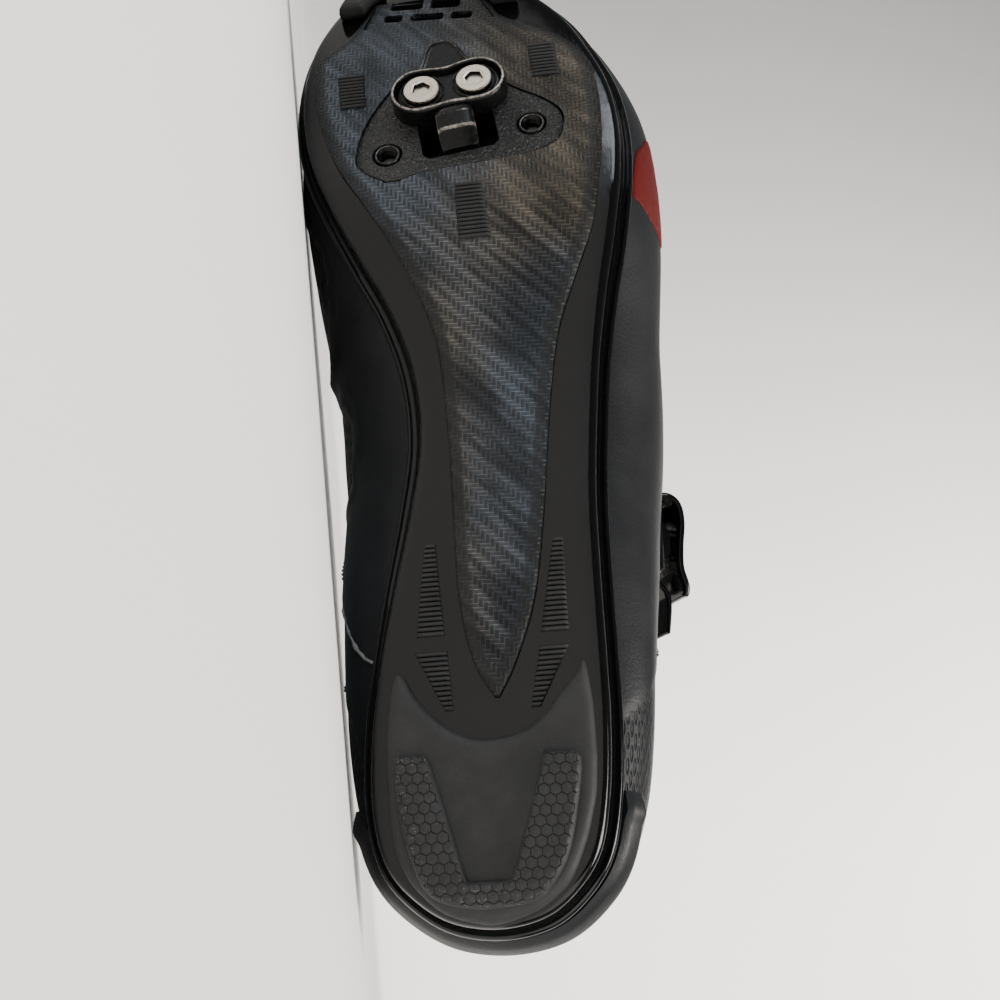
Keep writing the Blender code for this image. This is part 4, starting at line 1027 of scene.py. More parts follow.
# Features on the upper, as places (station, t)
Place = namedtuple("Place", "station t")
FOREFOOT_PANEL = named(Place, [
    (11.9, 0.32), (12.2, 0.17), (12.6, 0.11), (13.0, 0.10), (13.6, 0.13), (14.6, 0.27), (15.0, 0.40),
    (14.5, 0.50), (13.4, 0.49), (12.4, 0.42),
])
MIDFOOT_PANEL = named(Place, [
    (11.9, 0.44), (10.8, 0.25), (10.3, 0.21), (9.8, 0.22), (9.4, 0.25), (9.0, 0.25), (8.9, 0.38),
    (9.5, 0.52), (10.6, 0.58), (11.6, 0.54),
])
PANEL_RIDGES = [
    [Place(11.75, 0.34), Place(11.75, 0.22), Place(11.9, 0.12), Place(12.3, 0.06), Place(12.8, 0.05)],
    [Place(12.0, 0.40), Place(11.5, 0.27), Place(10.9, 0.20), Place(10.4, 0.17), Place(9.9, 0.18),
     Place(9.5, 0.20)],
]
RAW_EDGE = named(Place, [
    (6.15, -0.01), (6.25, 0.10), (6.42, 0.18), (6.65, 0.25), (7.0, 0.33), (7.45, 0.41), (8.0, 0.48),
    (8.5, 0.58), (8.8, 0.72), (8.95, 0.86), (9.0, 1.0),
])
HEEL_MESH_MEDIAL = named(Place, [
    (4.85, -0.02), (4.9, 0.07), (5.0, 0.17), (5.3, 0.24), (5.6, 0.36), (5.8, 0.50), (6.0, 0.66),
    (6.1, 0.80), (6.2, 1.02),
])
HEEL_MESH_LATERAL = named(Place, [
    (34.9, -0.02), (34.8, 0.08), (34.7, 0.12), (34.5, 0.24), (34.1, 0.43), (33.8, 0.58), (33.6, 0.72),
    (33.5, 0.84), (33.4, 1.02),
])
RED_PANEL = named(Place, [
    (26.9, 0.03), (26.1, 0.05), (25.7, 0.10), (25.3, 0.17), (25.2, 0.27), (25.7, 0.34), (26.4, 0.33),
    (27.0, 0.25), (27.1, 0.14), (27.0, 0.07),
])

# Soft folds of the coated cloth: a trough or ridge from one height to another
Fold = namedtuple("Fold", "station slant low high width depth")
FOLDS = named(Fold, [
    (16.2, -2.0, 0.45, 1.00, 2.6, 0.55), (15.0, -1.6, 0.50, 0.98, 2.2, -0.35),
    (13.7, -0.8, 0.55, 0.98, 2.8, 0.50), (23.6, 2.2, 0.42, 1.00, 2.6, 0.55),
    (24.9, 1.7, 0.45, 0.98, 2.3, -0.35), (26.3, 1.0, 0.50, 0.98, 3.0, 0.50),
    (8.2, 0.9, 0.35, 0.90, 4.5, 0.45), (31.6, -0.9, 0.30, 0.60, 4.5, 0.35),
    (5.0, 0.8, 0.60, 0.95, 3.6, 0.55), (35.0, -0.8, 0.60, 0.95, 3.6, 0.55),
    (3.0, 0.0, 0.55, 0.92, 3.5, 0.40), (37.0, 0.0, 0.55, 0.92, 3.5, 0.40),
    (18.6, 0.4, 0.10, 0.55, 3.0, 0.30), (21.6, -0.4, 0.10, 0.55, 3.0, 0.30),
])
STATION_LENGTH = 7.0
T_LENGTH = 75.0


def way_of(station, t):
    return (STATION_LENGTH * station, T_LENGTH * t)


def signed_distance(points, outline):
    """Millimetres inside (over 0) or outside an outline of places."""
    edge = np.array([way_of(*place) for place in outline])
    away = edge_distance(points, edge)
    inside = np.zeros(len(points), bool)
    x, y = points[:, 0], points[:, 1]
    for (x0, y0), (x1, y1) in zip(edge, np.roll(edge, -1, axis=0)):
        crosses = (y0 > y) != (y1 > y)
        with np.errstate(divide="ignore", invalid="ignore"):
            at = (x1 - x0) * (y - y0) / (y1 - y0) + x0
        inside ^= crosses & (x < at)
    return np.where(inside, away, -away)


def line_distance(points, line):
    """Distance of each place from a line of places that isn't closed."""
    edge = np.array([way_of(*place) for place in line])
    return distance_to(points, edge[:-1], edge[1:])


def station_on(line, t):
    """The station where a line of places passes a height."""
    ts = [place.t for place in line]
    return np.interp(t, ts, [place.station for place in line])


def ease(low, high, value):
    """The same as smooth, for a whole array."""
    share = np.clip((value - low) / (high - low), 0, 1)
    return share * share * (3 - 2 * share)


def relief(way):
    """Millimetres that the upper's face stands proud, and its masks, at places on it."""
    station, t = way[:, 0] / STATION_LENGTH, way[:, 1] / T_LENGTH
    height = np.zeros(len(way))
    panel = np.zeros(len(way))
    for outline in (FOREFOOT_PANEL, MIDFOOT_PANEL):
        inside = signed_distance(way, outline)
        panel = np.maximum(panel, ease(0.6, 1.5, inside))
        height -= 0.55 * ease(-0.2, 1.0, inside)
        height += 0.30 * np.exp(-((inside + 1.1) / 0.8) ** 2)
    for line in PANEL_RIDGES:
        height += 0.55 * np.exp(-(line_distance(way, line) / 1.0) ** 2)
    medial = station < RING / 2
    ahead = np.where(medial, station - station_on(RAW_EDGE, t), 1.0) * STATION_LENGTH
    height -= 0.60 * (1 - ease(-0.15, 0.15, ahead))
    rear_medial = station_on(HEEL_MESH_MEDIAL, t) - station
    rear_lateral = station - station_on(HEEL_MESH_LATERAL, t)
    rear = np.where(medial, rear_medial, rear_lateral) * STATION_LENGTH
    heel = ease(0.3, 1.3, rear) * (1 - ease(0.80, 0.86, t))
    height -= 0.35 * ease(-0.2, 0.6, rear)
    height -= 0.25 * np.exp(-(rear / 0.5) ** 2)
    for fold in FOLDS:
        centre = fold.station + fold.slant * (t - fold.low)
        across = (station - centre) * STATION_LENGTH / fold.width
        along = ease(fold.low, fold.low + 0.15, t) * (1 - ease(fold.high - 0.12, fold.high, t))
        height -= fold.depth * np.exp(-across ** 2) * along
    cloud = (np.sin(0.19 * way[:, 0] + 0.07 * way[:, 1]) * np.sin(0.11 * way[:, 1] - 0.05 * way[:, 0]))
    return height + 0.10 * cloud, panel, heel


def keep_on_mesh(mesh, name, values):
    layer = mesh.attributes.new(name, "FLOAT", "POINT")
    layer.data.foreach_set("value", np.asarray(values, np.float32))


class ShoeShades(PropertyGroup):
    """Colours and sizes of the finishes."""
    shell: FloatVectorProperty(name="Shell", description="Glossy sole shell and buckle",
                               subtype="COLOR", size=3, min=0, max=1, default=(0.0022, 0.0022, 0.0024))
    leather: FloatVectorProperty(name="Upper", description="Coated face of the upper",
                                 subtype="COLOR", size=3, min=0, max=1, default=(0.0060, 0.0064, 0.0072))
    rubber: FloatVectorProperty(name="Rubber", description="Heel pad and toe blocks",
                                subtype="COLOR", size=3, min=0, max=1, default=(0.0135, 0.0133, 0.0135))
    insert: FloatVectorProperty(name="Cleat insert", description="Grained plate under the cleat",
                                subtype="COLOR", size=3, min=0, max=1, default=(0.014, 0.013, 0.012))
    nickel: FloatVectorProperty(name="Bolts", description="Nickel of the cleat bolts",
                                subtype="COLOR", size=3, min=0, max=1, default=(0.50, 0.44, 0.37))
    accent: FloatVectorProperty(name="Accent", description="Red panel on the outer side",
                                subtype="COLOR", size=3, min=0, max=1, default=(0.11, 0.006, 0.005))
    twill_width: FloatProperty(name="Tow width", description="Width of one tow of the twill",
                               subtype="DISTANCE", unit="LENGTH", min=0.0002, max=0.005, default=0.00112)
    wear: FloatProperty(name="Wear", description="How far edges are rubbed pale or bare",
                        subtype="FACTOR", min=0, max=1, default=0.8)


class ShoeStage(PropertyGroup):
    """Paper, lights and camera."""
    paper: FloatVectorProperty(name="Paper", description="Floor and backdrop",
                               subtype="COLOR", size=3, min=0, max=1, default=(0.78, 0.77, 0.75))
    key: FloatProperty(name="Key light", description="Soft light from above", unit="POWER",
                       subtype="POWER", min=0, max=500, default=26.0)
    fill: FloatProperty(name="Fill light", description="Soft light from the camera's side",
                        subtype="POWER", unit="POWER", min=0, max=500, default=9.0)
    lens: FloatProperty(name="Lens", description="Focal length of the camera", subtype="DISTANCE_CAMERA",
                        unit="CAMERA", min=10, max=200, default=52.89)
    clear: FloatProperty(name="Camera height", description="Least height of the camera over the floor",
                         subtype="DISTANCE", unit="LENGTH", min=0.002, max=1, default=0.005)


class SHOE_OT_stage(Operator):
    """Lay the paper, hang the soft lights and set the camera at the photograph's angle"""
    bl_idname = "shoe.stage"
    bl_label = "Stage, lights and camera"

    CAMERA_AT = (0.1443, -0.37665)
    CAMERA_RIGHT = Vector((0.11019, -0.07312, 0.99122))
    CAMERA_UP = Vector((-0.94652, -0.31198, 0.08221))
    SENSOR = 36.0

    def execute(self, context):
        stage = context.scene.shoe_stage
        self.lay_paper()
        self.light("key", (0.45, -0.35, 1.0), (0.0, 0.0, 0.05), 0.7, stage.key, (1.0, 0.965, 0.92))
        self.light("fill", (-0.9, -0.85, 0.26), (0.0, 0.0, 0.05), 0.6, stage.fill, (0.86, 0.93, 1.0))
        self.light("rim", (1.0, -0.45, 0.30), (0.05, 0.0, 0.05), 1.0, 0.8 * stage.fill,
                   (1.0, 0.97, 0.93))
        self.light("backdrop", (0.2, 1.2, 1.3), (0.0, 2.2, 0.5), 1.4, stage.key * 2.0, (1.0, 0.98, 0.95))
        world = bpy.data.worlds.new("studio")
        world.use_nodes = True
        sky = world.node_tree.nodes["Background"]
        sky.inputs["Color"].default_value = (0.93, 0.96, 1.0, 1.0)
        sky.inputs["Strength"].default_value = 0.16
        context.scene.world = world
        self.set_camera(context, stage)
        return {"FINISHED"}

    def lay_paper(self):
        """A sheet that lies under the shoe and curves up behind it."""
        solid = Solid()
        profile = [(-3.0, 0.0), (0.0, 0.0), (0.9, 0.0)]
        for step in range(1, 25):
            angle = math.pi / 2 * step / 24
            profile.append((1.2 + 0.9 * math.sin(angle), 0.9 * (1 - math.cos(angle))))
        profile.append((2.1, 3.2))
        rows = [[Vector((x, y, z)) for x in (-3.5, -1.0, 0.0, 1.0, 3.5)] for y, z in profile]
        solid.add_grid(rows, flip=True)
        paper = solid.make("paper_floor", [finish("floor")])
        paper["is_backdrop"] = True

    def light(self, name, at, towards, size, power, colour):
        lamp = bpy.data.lights.new(name, "AREA")
        lamp.shape = "RECTANGLE"
        lamp.size = size
        lamp.size_y = 0.75 * size
        lamp.energy = power
        lamp.color = colour
        holder = bpy.data.objects.new(name, lamp)
        holder.location = at
        holder.rotation_euler = (Vector(towards) - Vector(at)).to_track_quat("-Z", "Y").to_euler()
        bpy.context.scene.collection.objects.link(holder)

    def set_camera(self, context, stage):
        lens = bpy.data.cameras.new("camera")
        lens.lens = stage.lens
        lens.sensor_width = self.SENSOR
        lens.clip_start = 0.01
        camera = bpy.data.objects.new("camera", lens)
        context.scene.collection.objects.link(camera)
        right, up = self.CAMERA_RIGHT, self.CAMERA_UP
        turn = Matrix((right, up, right.cross(up))).transposed().to_4x4()
        camera.matrix_world = Matrix.Translation((*self.CAMERA_AT, stage.clear)) @ turn
        context.scene.camera = camera


class SHOE_OT_sole_shell(Operator):
    """Mould the glossy shell: floor, channel, rounded bead, seat and vents"""
    bl_idname = "shoe.sole_shell"
    bl_label = "Sole shell"

    # Rings from the floor's edge out to the bead: share of the flare, inset and rise in mm
    Ring = namedtuple("Ring", "share inset rise")
    OUTSIDE = named(Ring, [
        (1.00, 0.0, 0.00), (0.88, 0.0, 0.06), (0.76, 0.0, 0.30), (0.66, 0.0, 0.85), (0.58, 0.0, 1.75),
        (0.50, 0.3, 3.00), (0.42, 0.5, 4.35), (0.34, 0.7, 5.45), (0.22, 0.9, 6.25), (0.10, 1.15, 6.45),
        (0.0, 1.30, 6.30), (0.0, 0.95, 6.12), (0.0, 0.60, 6.22), (0.0, 0.28, 6.60), (0.0, 0.06, 7.15),
        (0.0, 0.0, 7.70), (0.0, 0.08, 8.25), (0.0, 0.34, 8.72), (0.0, 0.75, 8.95), (0.0, 1.20, 9.00),
        (0.0, 1.75, 8.80), (0.0, 2.05, 8.30), (0.0, 2.2, 7.9),
    ])
    COUNT = 360

    def ring(self, share, inset, rise):
        points = []
        for index in range(self.COUNT):
            station = RING * index / self.COUNT
            flare = BALL_WIDTH * swell(SWELL_FLARE, station)
            points.append(rim_point(station, share * flare + inset, rise))
        return points

    def execute(self, context):
        solid = Solid()
        outside = [self.ring(r.share, r.inset * MM, r.rise * MM) for r in self.OUTSIDE]
        seat = LIP_WIDTH + SEAT_WIDTH
        inside = [self.ring(0.0, seat, 7.9 * MM), self.ring(0.45, seat - 0.0022, 5.0 * MM),
                  self.ring(1.0, PLATE, PLATE)]
        solid.add_grid(outside + inside, closed=True)
        for ring, flip in ((outside[0], True), (inside[-1], False)):
            self.close(solid, ring, flip)
        shell = solid.make("sole_shell_gloss", [finish("gloss")], weld=1e-6)
        cut(shell, self.window(), *(self.vent(vent) for vent in VENTS))
        sharpen(shell, 40)
        lay(shell, ["sole_shell"])
        return {"FINISHED"}

    def close(self, solid, ring, flip):
        """Strips from the inner to the outer side, each with points between, all on the arch."""
        half = len(ring) // 2
        rows = []
        for index in range(1, half):
            a, b = ring[index], ring[-index]
            row = []
            for step in range(13):
                point = a.lerp(b, step / 12)
                point.z += (face_height(point.y) - face_height(a.y) * (1 - step / 12)
                            - face_height(b.y) * step / 12)
                row.append(point)
            rows.append(row)
        solid.add_grid(rows, flip=flip)
        for end, row in ((ring[0], rows[0]), (ring[half], rows[-1])):
            start = len(solid.points)
            solid.points.extend([end] + row)
            for c in range(len(row) - 1):
                solid.faces.append((start, start + 1 + c, start + 2 + c))
                solid.finish.append(0)

    def vent(self, vent):
        """Cutter for a slot through shell and panel, with its corners cut off."""
        half = LENGTH * vent.length / 2
        along = LENGTH * vent.along
        middle = BALL_WIDTH * (vent.low + vent.high) / 2
        reach = BALL_WIDTH * (vent.high - vent.low) / 2
        along += VENT_TURN * middle
        slope = math.atan2(underside(along + half) - underside(along - half), 2 * half)
        corner = 0.0007
        outline = []
        for sx, sy in ((1, -1), (1, 1), (-1, 1), (-1, -1)):
            outline += [(sx * (reach - (corner if first else 0)), sy * (half - (0 if first else corner)))
                        for first in ((True, False) if sx * sy < 0 else (False, True))]
        cutter = prism("vent", outline, -3 * PLATE, 3 * PLATE)
        place = Matrix.Translation((middle, along, underside(along) + PROUD))
        cutter.data.transform(place @ Matrix.Rotation(slope, 4, "X")
                              @ Matrix.Rotation(VENT_TURN, 4, "Z"))
        return cutter

    def window(self):
        """The opening before the cleat that the pedal's catch reaches into."""
        half, back = WINDOW_WIDTH / 2, -NOSE_REACH
        outline = [(-half, back), (half, back), (half, back + WINDOW_LENGTH),
                   (-half, back + WINDOW_LENGTH)]
        pocket = prism("window", outline, -0.01, PROUD + 0.0022)
        pocket.data.transform(cleat_frame())
        return pocket


class SHOE_OT_sole_plates(Operator):
    """Lay the twill panel, the cleat insert and the ribbed patches"""
    bl_idname = "shoe.sole_plates"
    bl_label = "Panel, insert and patches"

    # Both ends of the two slanted grooves, half their width, and where the ribs' points lie across
    GROOVES = (((0.0254, 0.2470), (0.0208, 0.2610)), ((-0.0104, 0.2458), (-0.0040, 0.2600)))
    GROOVE_HALF = 0.0008
    RIB_PLACES = (0.0, 0.06, 0.2, 0.4, 0.6, 0.8, 0.94, 1.0)

    def execute(self, context):
        rows = span_rows(PANEL, BALL_WIDTH, LENGTH, 170)
        panel = add_face_plate("carbon_panel_twill", rows, 44, rounded(0.0013, 0.0034), "twill")
        shell = SHOE_OT_sole_shell
        insert_hole = prism("insert_hole", around(self.insert_rows(0.0004)), -0.01, 0.03)
        cut(panel, insert_hole, *(shell.vent(shell, vent) for vent in VENTS), *self.grooves())
        away = edge_distance(plan_of(panel), around(rows))
        keep_on_mesh(panel.data, "bevel", 1 - ease(0.0026, 0.0038, away))
        sharpen(panel, 40)
        lay(panel, ["carbon_panel"])
        self.add_insert()
        for patch in RIB_PATCHES:
            self.add_ribs(patch, PROUD - 0.0009, PROUD - 0.0001, 0.00120, "glossy_shell")
        for patch in GRIP_PATCHES:
            self.add_ribs(patch, -0.0008, -0.0001, 0.00115, "grained_plastic")
        for side, spans in (("medial", BUMPER_MEDIAL), ("lateral", BUMPER_LATERAL)):
            block = add_face_plate(f"toe_block_{side}", span_rows(spans, BALL_WIDTH, LENGTH, 24), 20,
                                   rounded(-0.0010, 0.0016, -0.0040), "rubber")
            lay(block, [f"toe_bumper_{side}"])
        return {"FINISHED"}

    def insert_rows(self, clearance):
        """Rows over the insert, wider all round by a clearance."""
        left = CLEAT_SIDE - CLEAT_ACROSS_INSERT * INSERT_WIDTH
        back = CLEAT_ALONG - CLEAT_ALONG_INSERT * INSERT_LENGTH
        rows = [[back + along, left + low - clearance, left + high + clearance]
                for along, low, high in span_rows(INSERT, INSERT_WIDTH, INSERT_LENGTH, 70)]
        rows[0][0] -= clearance
        rows[-1][0] += clearance
        return rows

    def add_insert(self):
        """The grained plate, with its window and the holes for the threaded rings."""
        insert = add_face_plate("cleat_insert_grain", self.insert_rows(-0.00015), 40,
                                rounded(0.0004, 0.0008), "grain")
        place = cleat_frame()
        half, back = WINDOW_WIDTH / 2, -NOSE_REACH
        corner = 0.0016
        outline = [(-half + corner, back), (half - corner, back), (half, back + corner),
                   (half, back + WINDOW_LENGTH), (-half, back + WINDOW_LENGTH), (-half, back + corner)]
        window = prism("window", outline, -0.02, 0.02)
        window.data.transform(place)
        cutters = [window]
        bore = THREAD_RING / 2 * 1.16
        for side in (1, -1):
            circle = [(bore * math.cos(a), bore * math.sin(a)) for a in turns(48)]
            hole = prism("hole", circle, -0.02, 0.02)
            hole.data.transform(place @ Matrix.Translation((side * THREAD_SPACING / 2, -THREAD_BACK, 0)))
            cutters.append(hole)
        cut(insert, *cutters)
        sharpen(insert, 40)
        lay(insert, ["cleat_insert"])

    def grooves(self):
        """Cutters for the two slanted grooves beside the vents."""
        for (x0, y0), (x1, y1) in self.GROOVES:
            run = Vector((x1 - x0, y1 - y0))
            across = Vector((run.y, -run.x)).normalized() * self.GROOVE_HALF
            rows = []
            for side in (1, -1):
                plan = [(x0 + side * across.x + s / 6 * run.x, y0 + side * across.y + s / 6 * run.y)
                        for s in range(7)]
                rows.append([(Vector((x, y, face_height(y) - 0.003)),
                              Vector((x, y, face_height(y) + 0.0010))) for x, y in plan])
            yield slab("groove", rows)

    def add_ribs(self, patch, low, high, pitch, slot):
        """Fine rounded ribs across a patch that tapers with the sole."""
        length = LENGTH * patch.length
        count = round(length / pitch)
        rows, groove = [], []
        for step in range(6 * count + 1):
            share = step / (6 * count)
            y = LENGTH * patch.along - length / 2 + share * length
            a = BALL_WIDTH * (patch.low_back + share * (patch.low_front - patch.low_back))
            b = BALL_WIDTH * (patch.high_back + share * (patch.high_front - patch.high_back))
            wave = math.sin(math.pi * ((step / 6) % 1.0)) ** 0.65
            # groove marks the troughs between the ribs, which the rubber finish paints dark as shade
            groove += [1 - smooth(0.2, 0.8, wave)] * len(self.RIB_PLACES)
            top = face_height(y) + high
            row = []
            for s in self.RIB_PLACES:
                x = a + (b - a) * s
                rise = (low - high) * wave * (0.25 if s in (0.0, 1.0) else 1.0)
                row.append((Vector((x, y, top + rise)), Vector((x, y, top + 0.0008))))
            rows.append(row)
        ribs = slab(patch.name + "_ribs", rows, "rubber")
        keep_on_mesh(ribs.data, "groove", groove + [0.0] * len(groove))
        sharpen(ribs, 60)
        lay(ribs, [patch.name])


class SHOE_OT_cleat(Operator):
    """Build the steel cleat, its washer and bolts, and the threaded rings"""
    bl_idname = "shoe.cleat"
    bl_label = "Cleat and bolts"

    def execute(self, context):
        self.add_cup()
        self.add_washer()
        for side, sign in (("medial", 1), ("lateral", -1)):
            self.add_bolt(side, sign)
            self.add_threads(side, sign)
        return {"FINISHED"}

    AROUND = 96

    def loop(self, inset, height, waist=0.0):
        """The cup's outline, drawn in by inset, its front and back pinched between the bolts."""
        radius = CLEAT_LENGTH / 2
        reach = CLEAT_WIDTH / 2 - radius
        outline = []
        straight, arc = 2 * reach, math.pi * radius
        total = 2 * straight + 2 * arc
        for index in range(self.AROUND):
            s = index / self.AROUND * total
            if s < straight:
                x, y, nx, ny = -reach + s, radius, 0.0, 1.0
            elif s < straight + arc:
                a = math.pi / 2 - (s - straight) / radius
                nx, ny = math.cos(a), math.sin(a)
                x, y = reach + radius * nx, radius * ny
            elif s < 2 * straight + arc:
                x, y, nx, ny = reach - (s - straight - arc), -radius, 0.0, -1.0
            else:
                a = -math.pi / 2 - (s - 2 * straight - arc) / radius
                nx, ny = math.cos(a), math.sin(a)
                x, y = -reach + radius * nx, radius * ny
            pinch = 0.0
            if abs(ny) >= 0.99:
                pinch = waist * math.exp(-(x / 0.0042) ** 2) * (1 if ny > 0 else 0.55)
            outline.append(Vector((x - nx * inset, y - ny * (inset + pinch), height)))
        return outline

    def add_cup(self):
        """The cup with its rubbed rim, joined with the nose and the flap."""
        h, rim, pocket = CLEAT_HEIGHT, CLEAT_RIM, CLEAT_POCKET
        # Inset, height and wear of each ring, from the back over the rim into the pocket
        rings = [(0.0004, -GAP, 0), (0.0, -0.0008, 0), (0.0, -h + 0.0009, 0.05),
                 (0.0001, -h + 0.0005, 0.3), (0.0003, -h + 0.0002, 0.75), (0.0006, -h, 0.8),
                 (rim - 0.0003, -h + 0.00005, 0.7), (rim - 0.0001, -h + 0.0003, 0.3),
                 (rim, -h + 0.0008, 0), (rim + 0.0001, pocket - h - 0.0003, 0),
                 (rim + 0.0005, pocket - h, 0)]
        solid = Solid()
        solid.add_grid([self.loop(inset, z, CLEAT_WAIST if inset > 0.0001 else 0.6 * CLEAT_WAIST)
                        for inset, z, _ in rings], closed=True)
        solid.add_fan(self.loop(*rings[0][:2]), flip=True)
        solid.add_fan(self.loop(*rings[-1][:2], CLEAT_WAIST))
        cup = solid.make("cleat_cup", [finish("steel")])
        worn = [wear for _, _, wear in rings for _ in range(self.AROUND)]
        keep_on_mesh(cup.data, "worn", worn + [0] * (2 * self.AROUND + 2))
        cleat = join([cup, self.add_nose(), self.add_flap()], "cleat_steel")
        cleat.data.transform(cleat_frame())
        sharpen(cleat, 50)
        lay(cleat, ["cleat"])

    def add_nose(self):
        """The block that the pedal's catch holds: two bevels, rubbed bright along its edges."""
        half, low = NOSE_WIDTH / 2, -NOSE_HEIGHT
        # Length, height and half width of each cut across the nose, and its wear
        cuts = [(-0.0068, -0.0002, 0.86, 0.5), (-0.0090, -0.0012, 0.92, 0.5),
                (-0.0102, -0.00145, 0.98, 0.5), (-0.0106, -0.0014, 1.0, 0.6),
                (-0.0111, -0.00125, 1.0, 0.5), (-0.0141, -0.0003, 1.02, 0.5),
                (-0.0145, -0.0002, 1.02, 0.8), (-0.0150, 0.0003, 1.02, 0.65),
                (-0.0154, 0.0006, 1.02, 0.0), (-0.0175, 0.0024, 1.0, 0.0),
                (-0.0178, 0.0026, 1.0, 0.5), (-NOSE_REACH, 0.0034, 0.97, 0.0)]
        shares = [-1.0, -0.97, -0.9, -0.82, -0.6, -0.2, 0.2, 0.6, 0.82, 0.9, 0.97, 1.0]
        rows, worn = [], []
        for y, rise, wide, wear in cuts:
            rows.append([(Vector((half * wide * share, y,
                                  low + rise + 0.0009 * max(0.0, abs(share) - 0.72) / 0.28)),
                          Vector((half * wide * share, y, -0.0018))) for share in shares])
            worn += [max(wear, 0.75 if abs(share) > 0.98 else 0.0) for share in shares]
        nose = slab("nose", rows, "steel")
        keep_on_mesh(nose.data, "worn", worn + [0.0] * len(worn))
        return nose

    def add_flap(self):
        """The low bell-shaped tongue before the cup, with a raised border."""
        count, columns = 70, 28
        start, tip = CLEAT_LENGTH * FLAP_SIDE[0][1], CLEAT_LENGTH * FLAP_SIDE[-1][1]
        plan = []
        for step in range(count + 1):
            y = start + (tip - start) * (1 - (1 - step / count) ** 1.6)
            half = CLEAT_WIDTH * float(np.interp(y / CLEAT_LENGTH, [row[1] for row in FLAP_SIDE],
                                                 [row[0] for row in FLAP_SIDE]))
            plan.append([(half * (2 * c / columns - 1), y) for c in range(columns + 1)])
        outline = [row[0] for row in plan] + plan[-1][1:] + [row[-1] for row in plan[-2::-1]]
        away = iter(edge_distance([point for row in plan for point in row], outline))
        rows, worn = [], []
        for line in plan:
            row = []
            for x, y in line:
                d = float(next(away))
                face = (0.0022 - 0.0006 * (1 - smooth(0.0, 0.0005, d))
                        - 0.0005 * smooth(0.0010, 0.0015, d))
                row.append((Vector((x, y, -face)), Vector((x, y, -GAP))))
                worn.append(0.62 * smooth(0.0002, 0.0005, d) * (1 - smooth(0.0009, 0.0012, d)))
            rows.append(row)
        flap = slab("flap", rows, "steel")
        keep_on_mesh(flap.data, "worn", worn + [0.0] * len(worn))
        return flap

    def add_washer(self):
        """The plate in the cup, with a raised ring round each bolt's seat."""
        solid = Solid()
        floor = CLEAT_POCKET - CLEAT_HEIGHT - GAP
        inset = CLEAT_RIM + 2 * GAP
        rings = [(inset, floor), (inset, floor - 0.0006), (inset + 0.0003, floor - 0.0008),
                 (inset + 0.0009, floor - 0.0008)]
        loops = [self.loop(a, z, CLEAT_WAIST) for a, z in rings]
        solid.add_grid(loops, closed=True)
        solid.add_fan(loops[0], flip=True)
        solid.add_fan(loops[-1])
        pieces = [solid.make("plate", [finish("steel")])]
        profile = [(0.0060, -0.0006), (0.0060, -0.0011), (0.0058, -0.0013), (0.0056, -0.0013),
                   (0.0054, -0.0011), (0.0053, -0.0002)]
        for sign in (1, -1):
            pieces.append(self.lathe("seat", profile, "steel", 64,
                                     Matrix.Translation((sign * BOLT_SPACING / 2, 0, floor))))
        for piece, worn in zip(pieces, (0.0, 0.55, 0.55)):
            keep_on_mesh(piece.data, "worn", [worn] * len(piece.data.vertices))
        washer = join(pieces, "washer_plate")
        washer.data.transform(cleat_frame())
        sharpen(washer, 40)
        lay(washer, ["cleat_washer"])

    def lathe(self, name, profile, finish_name, sides, place, closed=True):
        """Turn (radius, height) points round an axis."""
        solid = Solid()
        rows = [[Vector((r * math.cos(a), r * math.sin(a), z)) for a in turns(sides)]
                for r, z in profile]
        solid.add_grid(rows + ([rows[0]] if closed else []), closed=True)
        piece = solid.make(name, [finish(finish_name)], weld=1e-8)
        piece.data.transform(place)
        return piece

    def add_bolt(self, side, sign):
        """A countersunk bolt with a hex socket, whose inside takes the black steel finish as painted
        shade.
        """
        floor = CLEAT_POCKET - CLEAT_HEIGHT - GAP - 0.0008 - GAP
        top = floor - BOLT_HEAD_HEIGHT
        radius, hexagon = BOLT_HEAD / 2, BOLT_SOCKET / 2
        turn = math.radians(11 if sign > 0 else -17)

        def circle(r, z):
            return [Vector((r * math.cos(a), r * math.sin(a), z)) for a in turns(72)]

        def six(r, z):
            points = []
            for a in turns(72):
                reach = r / math.cos((a + turn) % (math.pi / 3) - math.pi / 6)
                points.append(Vector((reach * math.cos(a), reach * math.sin(a), z)))
            return points

        head = [circle(radius * share, z) for share, z in (
            (0.55, floor), (0.96, floor), (1.0, floor - 0.0003), (1.0, top + 0.0004),
            (0.975, top + 0.00012), (0.93, top), (0.62, top), (0.60, top + 0.00012))]
        socket = [six(hexagon * share, top + deep)
                  for share, deep in ((1.06, 0.00018), (1.0, 0.0005), (0.98, 0.0026))]
        solid = Solid()
        solid.add_grid(head + socket[:1], closed=True)
        # Painted shade: the socket's walls and floor take the black steel finish instead of nickel
        solid.add_grid(socket, closed=True, finish=1)
        solid.add_fan(head[0], flip=True)
        solid.add_fan(socket[-1], finish=1)
        bolt = solid.make(f"bolt_{side}", [finish("nickel"), finish("steel")], weld=1e-8)
        bolt.data.transform(cleat_frame() @ Matrix.Translation((sign * BOLT_SPACING / 2, 0, 0)))
        sharpen(bolt, 28)
        lay(bolt, [f"cleat_screw_{side}"])

